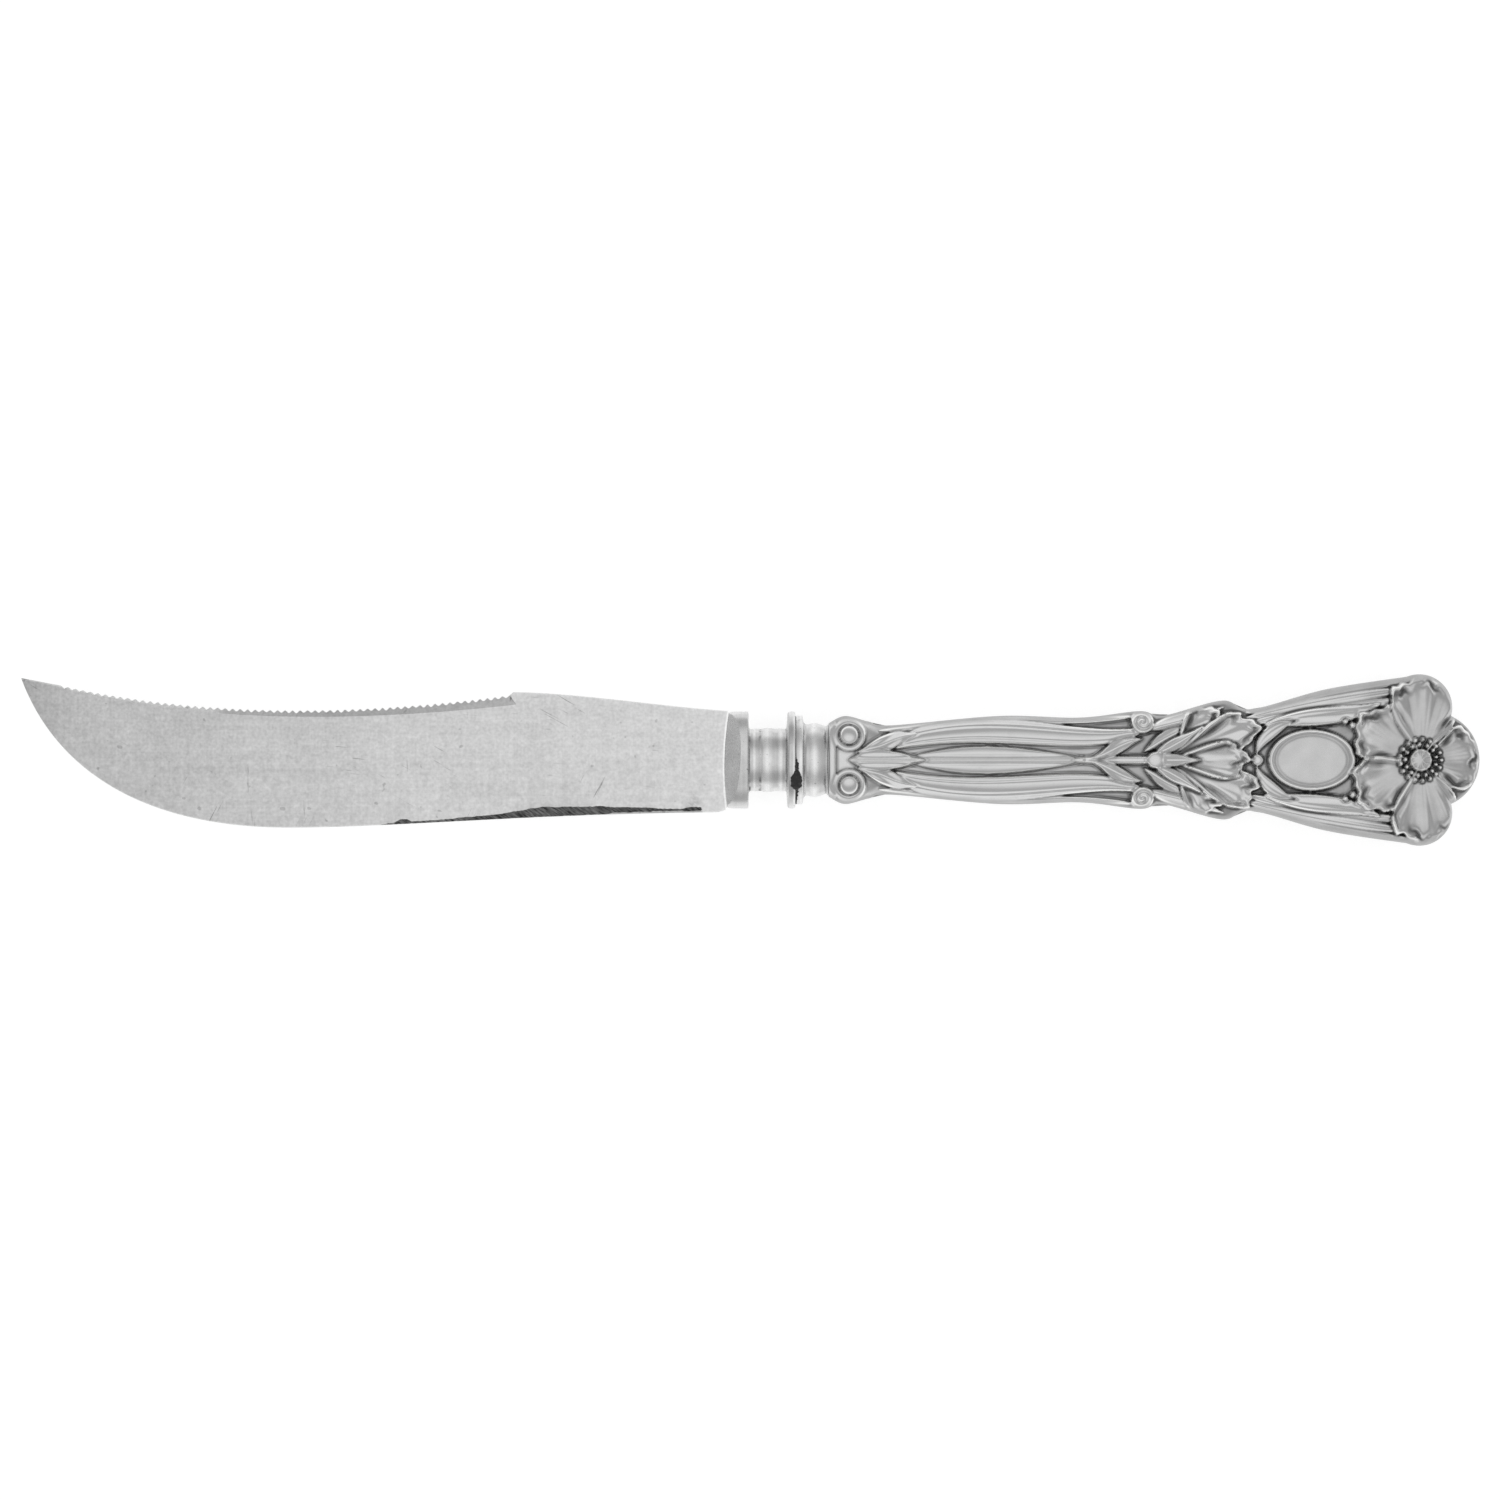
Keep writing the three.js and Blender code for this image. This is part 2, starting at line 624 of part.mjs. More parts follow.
function bolsterGeometry() {
  const front = heelX + SEAT_GAP;
  const drumEnd = heelX + DRUM_LENGTH;
  const bead = heelX + NECK_BEAD_STATION;
  const flange = bolsterEndX - FLANGE_WIDTH;
  const drum = (x, inset) =>
    ovalRing(x, DRUM_HALF_HEIGHT - inset, DRUM_HALF_THICKNESS - inset, DRUM_POWER);
  const neck = (x, rise) => ovalRing(x, NECK_HALF_HEIGHT + rise, NECK_HALF_THICKNESS + rise);
  const rim = (x, inset) => ovalRing(x, FLANGE_HALF_HEIGHT - inset, REST_DEPTH - inset);
  const body = loft([
    drum(front, CORNER),
    drum(front + CORNER, 0),
    drum(drumEnd - CORNER, 0),
    drum(drumEnd, CORNER / 2),
    neck(drumEnd + CORNER / 4, DRUM_COVE),
    ...beadRings(neck, bead, NECK_BEAD_WIDTH, BEAD_RISE),
    neck(flange - 3 * CORNER, 0),
    neck(flange - CORNER, FLANGE_COVE),
    rim(flange, CORNER / 2),
    rim(flange + CORNER, 0),
    rim(bolsterEndX - CORNER, 0),
    rim(bolsterEndX, CORNER / 2),
  ]);
  return cutFrom(body, tangSlot(), facetWedge(1), facetWedge(-1));
}

// Ferrule and the ring of cement in the joint before it

const ferruleBore = (x, inset = 0) =>
  ovalRing(x, FERRULE_BORE_HALF_HEIGHT - inset, FERRULE_BORE_HALF_THICKNESS - inset);

function ferruleGeometry() {
  const end = ferruleX + FERRULE_LENGTH;
  const lipEnd = ferruleX + FERRULE_LIP_WIDTH;
  const bead = jointX + FERRULE_BEAD_STATION;
  const lip = (x, inset) =>
    ovalRing(x, FERRULE_LIP_HALF_HEIGHT - inset, FERRULE_LIP_HALF_THICKNESS - inset);
  const body = (x, rise) => ovalRing(x, FERRULE_HALF_HEIGHT + rise, FERRULE_HALF_THICKNESS + rise);
  return loft(
    [
      lip(ferruleX, CORNER),
      lip(ferruleX + CORNER, 0),
      lip(lipEnd, 0),
      body(lipEnd + CORNER, FERRULE_COVE),
      ...beadRings(body, bead, FERRULE_BEAD_WIDTH, FERRULE_BEAD_RISE),
      body(end - 2 * CORNER, -MOUTH_GROOVE),
      body(end - CORNER, 0),
      body(end, 0),
      ferruleBore(end),
      ferruleBore(ferruleX),
    ],
    true,
  );
}

function cementRingGeometry() {
  const near = bolsterEndX + SEAT_GAP;
  const far = ferruleX - SEAT_GAP;
  const rim = (x) =>
    ovalRing(
      x,
      FERRULE_LIP_HALF_HEIGHT - CEMENT_RING_RECESS,
      FERRULE_LIP_HALF_THICKNESS - CEMENT_RING_RECESS,
    );
  return loft([rim(near), rim(far), ferruleBore(far), ferruleBore(near)], true);
}

// Handle outline: rulings from the spine to the edge, which fan out round the middle of the open flower

// Where a side lobe and the end lobe cross, on the outer side.
function lobeCrossing() {
  const dx = endLobeStation - sideLobeStation;
  const apart = Math.hypot(dx, SIDE_LOBE_OFFSET);
  const along = (apart ** 2 + SIDE_LOBE_RADIUS ** 2 - END_LOBE_RADIUS ** 2) / (2 * apart);
  const aside = Math.sqrt(SIDE_LOBE_RADIUS ** 2 - along ** 2);
  const toX = dx / apart;
  const toY = -SIDE_LOBE_OFFSET / apart;
  return new THREE.Vector2(
    sideLobeStation + along * toX - aside * toY,
    SIDE_LOBE_OFFSET + along * toY + aside * toX,
  );
}

function upperEdge(shaftSteps, lobeSteps) {
  const shaft = spline([
    [0, MOUTH_HALF],
    [BUTT_STATION, BUTT_HALF],
    [(BUTT_STATION + WAIST_STATION) / 2, (BUTT_HALF + WAIST_HALF) / 2 - BUTT_HOLLOW],
    [WAIST_STATION, WAIST_HALF],
    [GRIP_STATION, GRIP_HALF],
    [taperStation, TAPER_HALF],
    [knuckleStation, KNUCKLE_HALF],
    [throatStation, THROAT_HALF],
    [shoulderStation, SHOULDER_HALF],
    [notchStation, NOTCH_HALF],
    [flareStation, FLARE_HALF],
    [
      sideLobeStation + SIDE_LOBE_RADIUS * Math.cos(LOBE_JOIN_ANGLE),
      SIDE_LOBE_OFFSET + SIDE_LOBE_RADIUS * Math.sin(LOBE_JOIN_ANGLE),
    ],
  ]);
  const crossing = lobeCrossing();
  const crossingOnSide = Math.atan2(crossing.y - SIDE_LOBE_OFFSET, crossing.x - sideLobeStation);
  const crossingOnEnd = Math.atan2(crossing.y, crossing.x - endLobeStation);
  const arc = (x, y, radius, from, to) =>
    steps(from, to, lobeSteps)
      .slice(1)
      .map((a) => new THREE.Vector2(x + radius * Math.cos(a), y + radius * Math.sin(a)));
  return [
    ...shaft.getSpacedPoints(shaftSteps),
    ...arc(sideLobeStation, SIDE_LOBE_OFFSET, SIDE_LOBE_RADIUS, LOBE_JOIN_ANGLE, crossingOnSide),
    ...arc(endLobeStation, 0, END_LOBE_RADIUS, crossingOnEnd, 0),
  ];
}

// Each ruling runs from its foot on the spine to the handle's edge, inset by the same amount all round.
function rulings(inset, shaftSteps, lobeSteps, overhang = 0) {
  const upper = upperEdge(shaftSteps, lobeSteps).map((edge) => {
    const foot = new THREE.Vector2(Math.min(edge.x, roseStation), 0);
    const reach = edge.distanceTo(foot);
    return { foot, edge: edge.clone().lerp(foot, inset / reach) };
  });
  upper[0].foot.x -= overhang;
  upper[0].edge.x -= overhang;
  const lower = upper
    .slice(0, -1)
    .reverse()
    .map(({ foot, edge }) => ({ foot, edge: new THREE.Vector2(edge.x, -edge.y) }));
  return [...upper, ...lower];
}

// Relief on the ground of the handle. A form gives, at a point, how far inside its outline that lies and
// its height there.

// A round top, from 1 in the middle to 0 at its half-width and beyond.
const domed = (away, half) => (away < half ? Math.sqrt(1 - (away / half) ** 2) : 0);

// A curve that runs from its first point to its last and bends towards those between.
class Bend extends THREE.Curve {
  constructor(path) {
    super();
    this.path = path.map(([x, y]) => new THREE.Vector2(x, y));
  }

  getPoint(t) {
    let points = this.path;
    while (points.length > 1) {
      points = points.slice(1).map((point, i) => points[i].clone().lerp(point, t));
    }
    return points[0];
  }
}

// How far along a track a point lies, from 0 to 1, and how far away from it.
function besideTrack(track, at) {
  let nearest = { along: 0, away: Infinity };
  for (let i = 1; i < track.length; i++) {
    const leg = track[i].clone().sub(track[i - 1]);
    const k = THREE.MathUtils.clamp(at.clone().sub(track[i - 1]).dot(leg) / leg.lengthSq(), 0, 1);
    const away = track[i - 1].clone().addScaledVector(leg, k).distanceTo(at);
    if (away < nearest.away) nearest = { along: (i - 1 + k) / (track.length - 1), away };
  }
  return nearest;
}

function leafForm(origin, { path, half, lift, crown, widest, blunt = 1 }) {
  const track = new Bend(path.map(([x, y]) => [origin + x, y])).getSpacedPoints(TRACK_STEPS);
  const swell = Math.log(0.5) / Math.log(widest);
  return (at) => {
    const { along, away } = besideTrack(track, at);
    const width = half * Math.sin(Math.PI * along ** swell) ** blunt;
    const stretch = along < 0.5 ? 0 : 1;
    const base = THREE.MathUtils.lerp(lift[stretch], lift[stretch + 1], 2 * along - stretch);
    return { inside: width - away, height: base + crown * (domed(away, width) - CROWN_SINK) };
  };
}

function petalForm(origin, { foot, turn, spread, length, low, high, dish }) {
  const start = new THREE.Vector2(origin + foot[0], foot[1]);
  return (at) => {
    const arm = at.clone().sub(start);
    const reach = arm.length();
    const swing = Math.abs(THREE.MathUtils.radToDeg(Math.atan2(arm.y, arm.x)) - turn);
    const middling = Math.cos((Math.min(swing / spread, 1) * Math.PI) / 2);
    const rim = length * middling ** PETAL_FULLNESS;
    const out = rim > 0 ? Math.min(reach / rim, 1) : 1;
    return {
      inside: Math.min(rim - reach, THREE.MathUtils.degToRad(spread - swing) * reach),
      height: THREE.MathUtils.lerp(low, high, out) - dish * Math.sin(Math.PI * out) * middling,
    };
  };
}

// A round boss with a domed top, which stands on its lift.
function bossForm(station, aside, radius, lift, rise) {
  const middle = new THREE.Vector2(station, aside);
  return (at) => {
    const away = middle.distanceTo(at);
    return { inside: radius - away, height: lift + rise * domed(away, radius) };
  };
}

const mouthBand = (at) => ({ inside: MOUTH_BAND_WIDTH - at.x, height: MOUTH_BAND_RISE });

function cartoucheForm(at) {
  const share = Math.hypot((at.x - cartoucheStation) / CARTOUCHE_HALF_LENGTH, at.y / CARTOUCHE_HALF_WIDTH);
  return { inside: (1 - share) * CARTOUCHE_HALF_WIDTH, height: CARTOUCHE_RISE };
}

const ribForms = Array.from({ length: RIB_COUNT }, (_, rib) => {
  const root = RIB_ROOT + rib * RIB_ROOT_STEP;
  const tip = RIB_TIP + rib * RIB_TIP_STEP;
  const path = RIB.path.map(([x, offset], i) => [x, offset + (i < RIB.path.length / 2 ? root : tip)]);
  return leafForm(cartoucheStation, { ...RIB, path });
});

const reliefForms = [
  mouthBand,
  leafForm(0, REED),
  leafForm(0, STRAP),
  leafForm(0, LONG_LEAF),
  leafForm(bloomStation, STEM),
  leafForm(bloomStation, SPRAY),
  leafForm(0, MOUTH_SIDE_LEAF),
  leafForm(0, MOUTH_LEAF),
  bossForm(STUD_STATION, STUD_OFFSET, STUD_PLATE_RADIUS, STUD_PLATE_RISE, 0),
  bossForm(STUD_STATION, STUD_OFFSET, STUD_RADIUS, STUD_PLATE_RISE, STUD_RISE),
  leafForm(bloomStation, THROAT_LEAF),
  leafForm(bloomStation, INNER_LEAF),
  bossForm(knuckleStation, SCROLL_OFFSET, SCROLL_RADIUS, SCROLL_LIFT, SCROLL_RISE),
  ...ribForms,
  cartoucheForm,
  leafForm(cartoucheStation, FLANK_LEAF),
  leafForm(cartoucheStation, CRESCENT),
  bossForm(cartoucheStation + BUD_STATION, 0, BUD_RADIUS, BUD_LIFT, BUD_RISE),
  petalForm(bloomStation, BLOOM_SIDE_PETAL),
  petalForm(bloomStation, BLOOM_NEXT_PETAL),
  petalForm(bloomStation, BLOOM_FRONT_PETAL),
  leafForm(bloomStation, SEPAL),
  leafForm(bloomStation, FRONT_SEPAL),
  bossForm(bloomStation + KNOB_STATION, 0, KNOB_RADIUS, KNOB_LIFT, KNOB_RISE),
  petalForm(roseStation, ROSE_END_PETAL),
  petalForm(roseStation, ROSE_BACK_PETAL),
  petalForm(roseStation, ROSE_SIDE_PETAL),
  bossForm(roseStation, 0, ROSE_RING_RADIUS, ROSE_RING_RISE, 0),
  bossForm(roseStation, 0, ROSE_EYE_RADIUS, ROSE_EYE_LIFT, ROSE_EYE_RISE),
];

function relief(station, aside) {
  const at = new THREE.Vector2(station, Math.abs(aside));
  const pad = PAD_RISE * (1 - smooth((station - PAD_STATION) / PAD_FALL));
  return reliefForms.reduce((under, form) => {
    const { inside, height } = form(at);
    return THREE.MathUtils.lerp(under, height, smooth(inside / EDGE_SLOPE + 0.5));
  }, pad);
}

const groundCurve = spline([
  [0, MOUTH_DEPTH],
  [GRIP_STATION, GRIP_DEPTH],
  [shoulderStation, SHOULDER_DEPTH],
  [cartoucheStation, CARTOUCHE_DEPTH],
  [roseStation, END_DEPTH],
  [HANDLE_LENGTH, END_DEPTH],
]);

// Height of the handle's surface over the mid-plane. share runs from 0 at the spine to 1 at the edge.
function groundHeight(station, share) {
  const depth = heightAt(groundCurve, THREE.MathUtils.clamp(station, 0, HANDLE_LENGTH));
  return depth * Math.max(0, 1 - share ** SECTION_POWER) ** (1 / SECTION_POWER);
}

function outerHeight(station, aside, share) {
  const ground = groundHeight(station, share);
  const raised = ground + relief(station, aside) * smooth((1 - share) * RELIEF_FADE);
  return Math.min(raised, REST_DEPTH);
}

// Half of the handle's body over its rulings: a raised face, a flat face at base, and a flat mouth.
function halfBody(lines, rows, crowding, base, heightOver) {
  const points = [];
  const triangles = [];
  lines.forEach(({ foot, edge }) => {
    for (let row = 0; row <= rows; row++) {
      const even = row / rows;
      const share = THREE.MathUtils.lerp(even, Math.sin((Math.PI / 2) * even), crowding);
      const at = foot.clone().lerp(edge, share);
      points.push(new THREE.Vector3(mouthX + at.x, at.y, Math.max(base, heightOver(at.x, at.y, share))));
    }
    points.push(new THREE.Vector3(mouthX + foot.x, foot.y, base));
    points[points.length - 2].z = base;
  });
  const stride = rows + 2;
  for (let line = 0; line < lines.length - 1; line++) {
    const a = line * stride;
    const b = a + stride;
    for (let row = 0; row < rows; row++) {
      triangles.push([a + row, b + row, b + row + 1], [a + row, b + row + 1, a + row + 1]);
    }
    triangles.push([a + rows, b + rows, b + rows + 1], [a + rows, b + rows + 1, a + rows + 1]);
  }
  const last = (lines.length - 1) * stride;
  for (let row = 0; row < rows; row++) {
    triangles.push([rows + 1, row, row + 1]);
    triangles.push([last + rows + 1, last + row + 1, last + row]);
  }
  return closedSurface(points, triangles);
}

const turnedOver = (geometry) => geometry.clone().applyMatrix4(new THREE.Matrix4().makeRotationX(Math.PI));

function shellGeometry() {
  const base = SEAM_SOLDER / 2 + SEAT_GAP;
  const outside = halfBody(
    rulings(0, SHAFT_STEPS, LOBE_STEPS),
    RELIEF_ROWS,
    RELIEF_CROWDING,
    base,
    outerHeight,
  );
  const hollow = halfBody(
    rulings(WALL, HOLLOW_STEPS, HOLLOW_LOBE_STEPS, HOLLOW_OVERRUN),
    CAVITY_ROWS,
    1,
    0,
    (station, aside, share) => groundHeight(station, share) - WALL,
  );
  return cutFrom(outside, hollow);
}

// Solder in the seam: a flat band that follows the rims of the two shells
function solderGeometry() {
  const outer = rulings(SEAT_GAP, HOLLOW_STEPS, HOLLOW_LOBE_STEPS);
  const inner = rulings(WALL, HOLLOW_STEPS, HOLLOW_LOBE_STEPS);
  const rings = outer.map(({ edge }, i) =>
    [
      [edge, -1],
      [edge, 1],
      [inner[i].edge, 1],
      [inner[i].edge, -1],
    ].map(([at, side]) => new THREE.Vector3(mouthX + at.x, at.y, (side * SEAM_SOLDER) / 2)),
  );
  return loft(rings);
}

// The same on both sides of the mid-plane: two raised faces that meet along the edge, and a flat mouth.
function wholeBody(lines, rows, heightOver) {
  const rings = lines.map(({ foot, edge }) =>
    steps(-1, 1, 2 * rows).map((turn) => {
      const share = Math.cos((Math.PI / 2) * turn);
      const at = foot.clone().lerp(edge, share);
      const height = Math.max(0, heightOver(at.x, at.y, share));
      return new THREE.Vector3(mouthX + at.x, at.y, -Math.sign(turn) * height);
    }),
  );
  const stride = 2 * rows + 1;
  const triangles = [];
  for (let line = 0; line < lines.length - 1; line++) {
    const a = line * stride;
    const b = a + stride;
    for (let i = 0; i < stride - 1; i++) {
      triangles.push([a + i, b + i, b + i + 1], [a + i, b + i + 1, a + i + 1]);
    }
  }
  const last = (lines.length - 1) * stride;
  for (let i = 1; i < stride - 1; i++) {
    triangles.push([0, i, i + 1], [last, last + i + 1, last + i]);
  }
  return closedSurface(rings.flat(), triangles);
}

// Cement that fills the handle and the ferrule, and grips the tang
function cementGeometry() {
  const lines = rulings(WALL + CORE_GAP, HOLLOW_STEPS, HOLLOW_LOBE_STEPS, -CORE_GAP);
  const filling = wholeBody(
    lines,
    CAVITY_ROWS,
    (station, aside, share) => groundHeight(station, share) - (share < 1 ? WALL + CORE_GAP : 0),
  );
  const plug = loft([
    ferruleBore(ferruleX, CORE_GAP),
    ferruleBore(mouthX + BUTT_STATION, CORE_GAP),
  ]);
  return cutFrom(geometryOf(solidOf(filling).add(solidOf(plug))), tangSlot());
}

// Assembly

const knife = new THREE.Group();
knife.name = "fruit_knife";
knife.position.set(-(tipX + handleEndX) / 2, 0, REST_DEPTH);

function addPiece(name, geometry, material) {
  const mesh = new THREE.Mesh(geometry, material.clone());
  mesh.name = name;
  knife.add(mesh);
}

const shell = shellGeometry();
addPiece("blade", bladeGeometry(), plate);
addPiece("bolster", bolsterGeometry(), plate);
addPiece("joint_cement", cementRingGeometry(), cement);
addPiece("ferrule", ferruleGeometry(), silver);
addPiece("handle_front", shell, silver);
addPiece("handle_back", turnedOver(shell), silver);
addPiece("seam_solder", solderGeometry(), solder);
addPiece("cement_core", cementGeometry(), cement);

export default knife;
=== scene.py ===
# %% [markdown]
# Silver fruit knife
#
# The real knife is a plated blade with a saw-toothed back, a turned bolster at its heel, a ferrule, and a
# hollow silver handle that was struck in two halves and filled with cement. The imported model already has
# each of these pieces in its place. This lesson loads it as a fixed frame and then models each piece
# again with the fine detail that the plain solids leave out, so nothing has to be fitted by eye.

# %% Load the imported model
import math

import bpy
import numpy as np
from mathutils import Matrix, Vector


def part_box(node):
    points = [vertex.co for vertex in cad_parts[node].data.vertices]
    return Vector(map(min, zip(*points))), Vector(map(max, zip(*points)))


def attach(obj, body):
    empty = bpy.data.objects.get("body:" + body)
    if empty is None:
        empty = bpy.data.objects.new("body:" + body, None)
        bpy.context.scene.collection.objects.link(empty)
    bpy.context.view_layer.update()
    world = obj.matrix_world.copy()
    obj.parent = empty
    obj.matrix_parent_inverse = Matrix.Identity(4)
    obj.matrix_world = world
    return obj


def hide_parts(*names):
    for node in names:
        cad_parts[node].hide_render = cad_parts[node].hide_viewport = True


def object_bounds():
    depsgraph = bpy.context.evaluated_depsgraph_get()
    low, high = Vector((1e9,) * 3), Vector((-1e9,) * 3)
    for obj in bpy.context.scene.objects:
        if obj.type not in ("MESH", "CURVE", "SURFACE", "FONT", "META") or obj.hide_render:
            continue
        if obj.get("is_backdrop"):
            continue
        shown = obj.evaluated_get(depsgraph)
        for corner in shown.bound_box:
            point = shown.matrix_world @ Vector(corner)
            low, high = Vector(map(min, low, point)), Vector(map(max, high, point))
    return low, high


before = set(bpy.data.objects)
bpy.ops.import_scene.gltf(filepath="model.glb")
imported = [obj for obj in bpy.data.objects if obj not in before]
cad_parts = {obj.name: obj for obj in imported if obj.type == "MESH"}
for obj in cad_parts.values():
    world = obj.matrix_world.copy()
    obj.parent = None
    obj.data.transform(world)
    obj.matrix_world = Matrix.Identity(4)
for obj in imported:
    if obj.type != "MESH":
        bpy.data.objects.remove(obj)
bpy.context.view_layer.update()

MM = 0.001
print("solids:", sorted(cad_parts))

# %% [markdown]
# Stations of the knife
#
# Every piece is placed by the solids that it stands for. Their boxes give the few planes that matter:
# the seam between the two halves of the handle, the tip and the heel of the blade, the two faces of the
# open joint, and the mouth and the end of the handle. They are kept in millimetres, because the sizes of
# a small object are easier to read that way, and turned into metres when a mesh is written.

# %% Stations
def box_mm(node):
    low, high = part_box(node)
    return np.array(low) / MM, np.array(high) / MM


SEAM_Z = (box_mm("handle_back")[1][2] + box_mm("handle_front")[0][2]) / 2
TIP_X = box_mm("blade")[0][0]
HEEL_X = box_mm("bolster")[0][0]
FLANGE_X = box_mm("bolster")[1][0]
FERRULE_X = box_mm("ferrule")[0][0]
MOUTH_X = box_mm("handle_front")[0][0]
HANDLE_END_X = box_mm("handle_front")[1][0]
HANDLE_LENGTH = HANDLE_END_X - MOUTH_X
print(f"tip {TIP_X:.2f}, heel {HEEL_X:.2f}, mouth {MOUTH_X:.2f}, end {HANDLE_END_X:.2f}, seam {SEAM_Z:.2f}")

# %% [markdown]
# Soft curves
#
# A worn object has no hard corners, so everything here is shaped with a few soft curves. `smooth` is a
# step with rounded ends, `bump` is a round hill and `dome` is half a circle. `bezier` gives points on the
# curve that Blender draws between the handles of a Bezier curve, so that they can be used as numbers.

# %% Soft curves
def smooth(t):
    t = np.clip(t, 0, 1)
    return t * t * (3 - 2 * t)


def bump(distance, width):
    return np.exp(-((distance / width) ** 2))


def dome(share):
    return np.sqrt(np.clip(1 - share * share, 0, 1))


def bezier(points, count):
    t = np.linspace(0, 1, count)[:, None]
    level = [np.array(p, float) for p in points]
    while len(level) > 1:
        level = [a * (1 - t) + b * t for a, b in zip(level[:-1], level[1:])]
    return level[0]


print(f"a quarter of the way: step {smooth(0.25):.2f}, hill {bump(0.25, 1):.2f}, dome {dome(0.25):.2f}")

# %% [markdown]
# Skins
#
# Most of the knife is a skin over sections: a section is drawn at many stations and the skin joins them.
# By hand one would add a grid and pull its corners into place, and `skin` does just that: it adds a grid
# of the right count and moves each corner to its point. Numbers that a finish needs later, such as how
# dark a place is, are stored at the corners of the mesh.

# %% Skins
def deselect():
    if bpy.context.object and bpy.context.object.mode != "OBJECT":
        bpy.ops.object.mode_set(mode="OBJECT")
    bpy.ops.object.select_all(action="DESELECT")


def corners_of(piece):
    flat = np.empty(len(piece.data.vertices) * 3, np.float32)
    piece.data.vertices.foreach_get("co", flat)
    return flat.reshape(-1, 3)


def move_corners(piece, spots_mm):
    piece.data.vertices.foreach_set("co", (spots_mm * MM).astype(np.float32).ravel())


def store(piece, name, values, kind="POINT"):
    layer = piece.data.attributes.new(name, "FLOAT", kind)
    layer.data.foreach_set("value", np.asarray(values, np.float32))


def skin(name, points, **marks):
    """A grid with its corner (i, j) at points[i, j]; marks are numbers kept at each corner."""
    rows, columns = points.shape[:2]
    deselect()
    bpy.ops.mesh.primitive_grid_add(x_subdivisions=rows - 1, y_subdivisions=columns - 1, size=1)
    piece = bpy.context.object
    piece.name = piece.data.name = name
    flat = corners_of(piece)
    i = np.rint((flat[:, 0] + 0.5) * (rows - 1)).astype(int)
    j = np.rint((flat[:, 1] + 0.5) * (columns - 1)).astype(int)
    move_corners(piece, points[i, j])
    for mark, values in marks.items():
        store(piece, mark, values[i, j])
    piece.data.update()
    return piece


print("a skin needs its points as a grid, one row for each station")

# %% [markdown]
# Closing a piece
#
# A skin is only a sheet until its edges are joined. `close_up` does what one does by hand in edit mode:
# it merges the corners that meet, fills what is still open and turns all the faces outwards. `settle`
# ends the work on a piece. It shades it smooth, but keeps edges sharper than an angle crisp, gives it its
# finish, and puts it into the frame in the place of its solid.

# %% Closing a piece
SAME_PLACE = 1e-7


def close_up(merge=SAME_PLACE):
    """Closes the active piece."""
    bpy.ops.object.mode_set(mode="EDIT")
    bpy.ops.mesh.select_all(action="SELECT")
    bpy.ops.mesh.remove_doubles(threshold=merge)
    bpy.ops.mesh.select_all(action="SELECT")
    bpy.ops.mesh.fill_holes(sides=0)
    bpy.ops.mesh.select_all(action="SELECT")
    bpy.ops.mesh.normals_make_consistent(inside=False)
    bpy.ops.object.mode_set(mode="OBJECT")


def settle(piece, finish, slot, *nodes, angle=30):
    """Shades a finished piece, gives it its finish and puts it in the frame in place of its nodes."""
    deselect()
    piece.select_set(True)
    bpy.context.view_layer.objects.active = piece
    bpy.ops.object.shade_smooth_by_angle(angle=math.radians(angle))
    piece.data.materials.clear()
    piece.data.materials.append(finish)
    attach(piece, "root")
    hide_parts(*nodes)
    piece.data.calc_loop_triangles()
    print(f"{piece.name}: {len(piece.data.loop_triangles)} triangles")


print(f"corners closer than {SAME_PLACE} m are merged")

# %% [markdown]
# Finishes
#
# Old silver is never one colour. It darkens where it can't be rubbed, stays bright on the high places,
# and is covered in hairline scratches. Each finish below starts from the metal's own grey and mixes in
# noise at the scale of the real marks. The patterns read Object coordinates, which are metres here, so a
# noise scale of 1000 makes a mark about a millimetre long. Where a finish has to follow a shape, such as
# the dark hollows of the relief, it reads a number that was stored at each corner of the mesh. `add` makes
# one node and links or sets its inputs, so that a finish reads as a list of steps.

# %% Nodes of a finish
def finish_named(name, metallic=1.0):
    finish = bpy.data.materials.new(name)
    finish.use_nodes = True
    tree = finish.node_tree
    shader = tree.nodes["Principled BSDF"]
    shader.inputs["Metallic"].default_value = metallic
    return finish, tree, shader


def add(tree, kind, inputs, out=0, **settings):
    """A node with its settings; an input that is a socket is linked, and any other is a plain value."""
    node = tree.nodes.new("ShaderNode" + kind)
    for name, value in settings.items():
        setattr(node, name, value)
    for name, value in inputs.items():
        if isinstance(value, bpy.types.NodeSocket):
            tree.links.new(value, node.inputs[name])
        else:
            node.inputs[name].default_value = value
    return node.outputs[out]


def corner_number(tree, name):
    return add(tree, "Attribute", {}, out="Fac", attribute_name=name)


def mixed(tree, share, first, second):
    """A colour between two; a colour mix has its colours at sockets 6 and 7 and its result at 2."""
    return add(tree, "Mix", {0: share, 6: first, 7: second}, out=2, data_type="RGBA")


def wire(tree, shader, colour, roughness, height, depth):
    tree.links.new(colour, shader.inputs["Base Color"])
    tree.links.new(roughness, shader.inputs["Roughness"])
    normal = add(tree, "Bump", {"Height": height, "Distance": depth, "Strength": 1.0})
    tree.links.new(normal, shader.inputs["Normal"])


print("a finish has a colour, a roughness and a bump, each made of nodes")

# %% [markdown]
# Patterns
#
# A few kinds of node do nearly all the work: noise for patches and grain, math for laying one pattern
# over another, map range for choosing which part of a pattern shows, and a ramp that turns a number into
# a grey. A Mapping node stretches the coordinates, because a hairline is noise that is stretched very
# long in one direction. A second one turns them first, so that the hairlines lean.

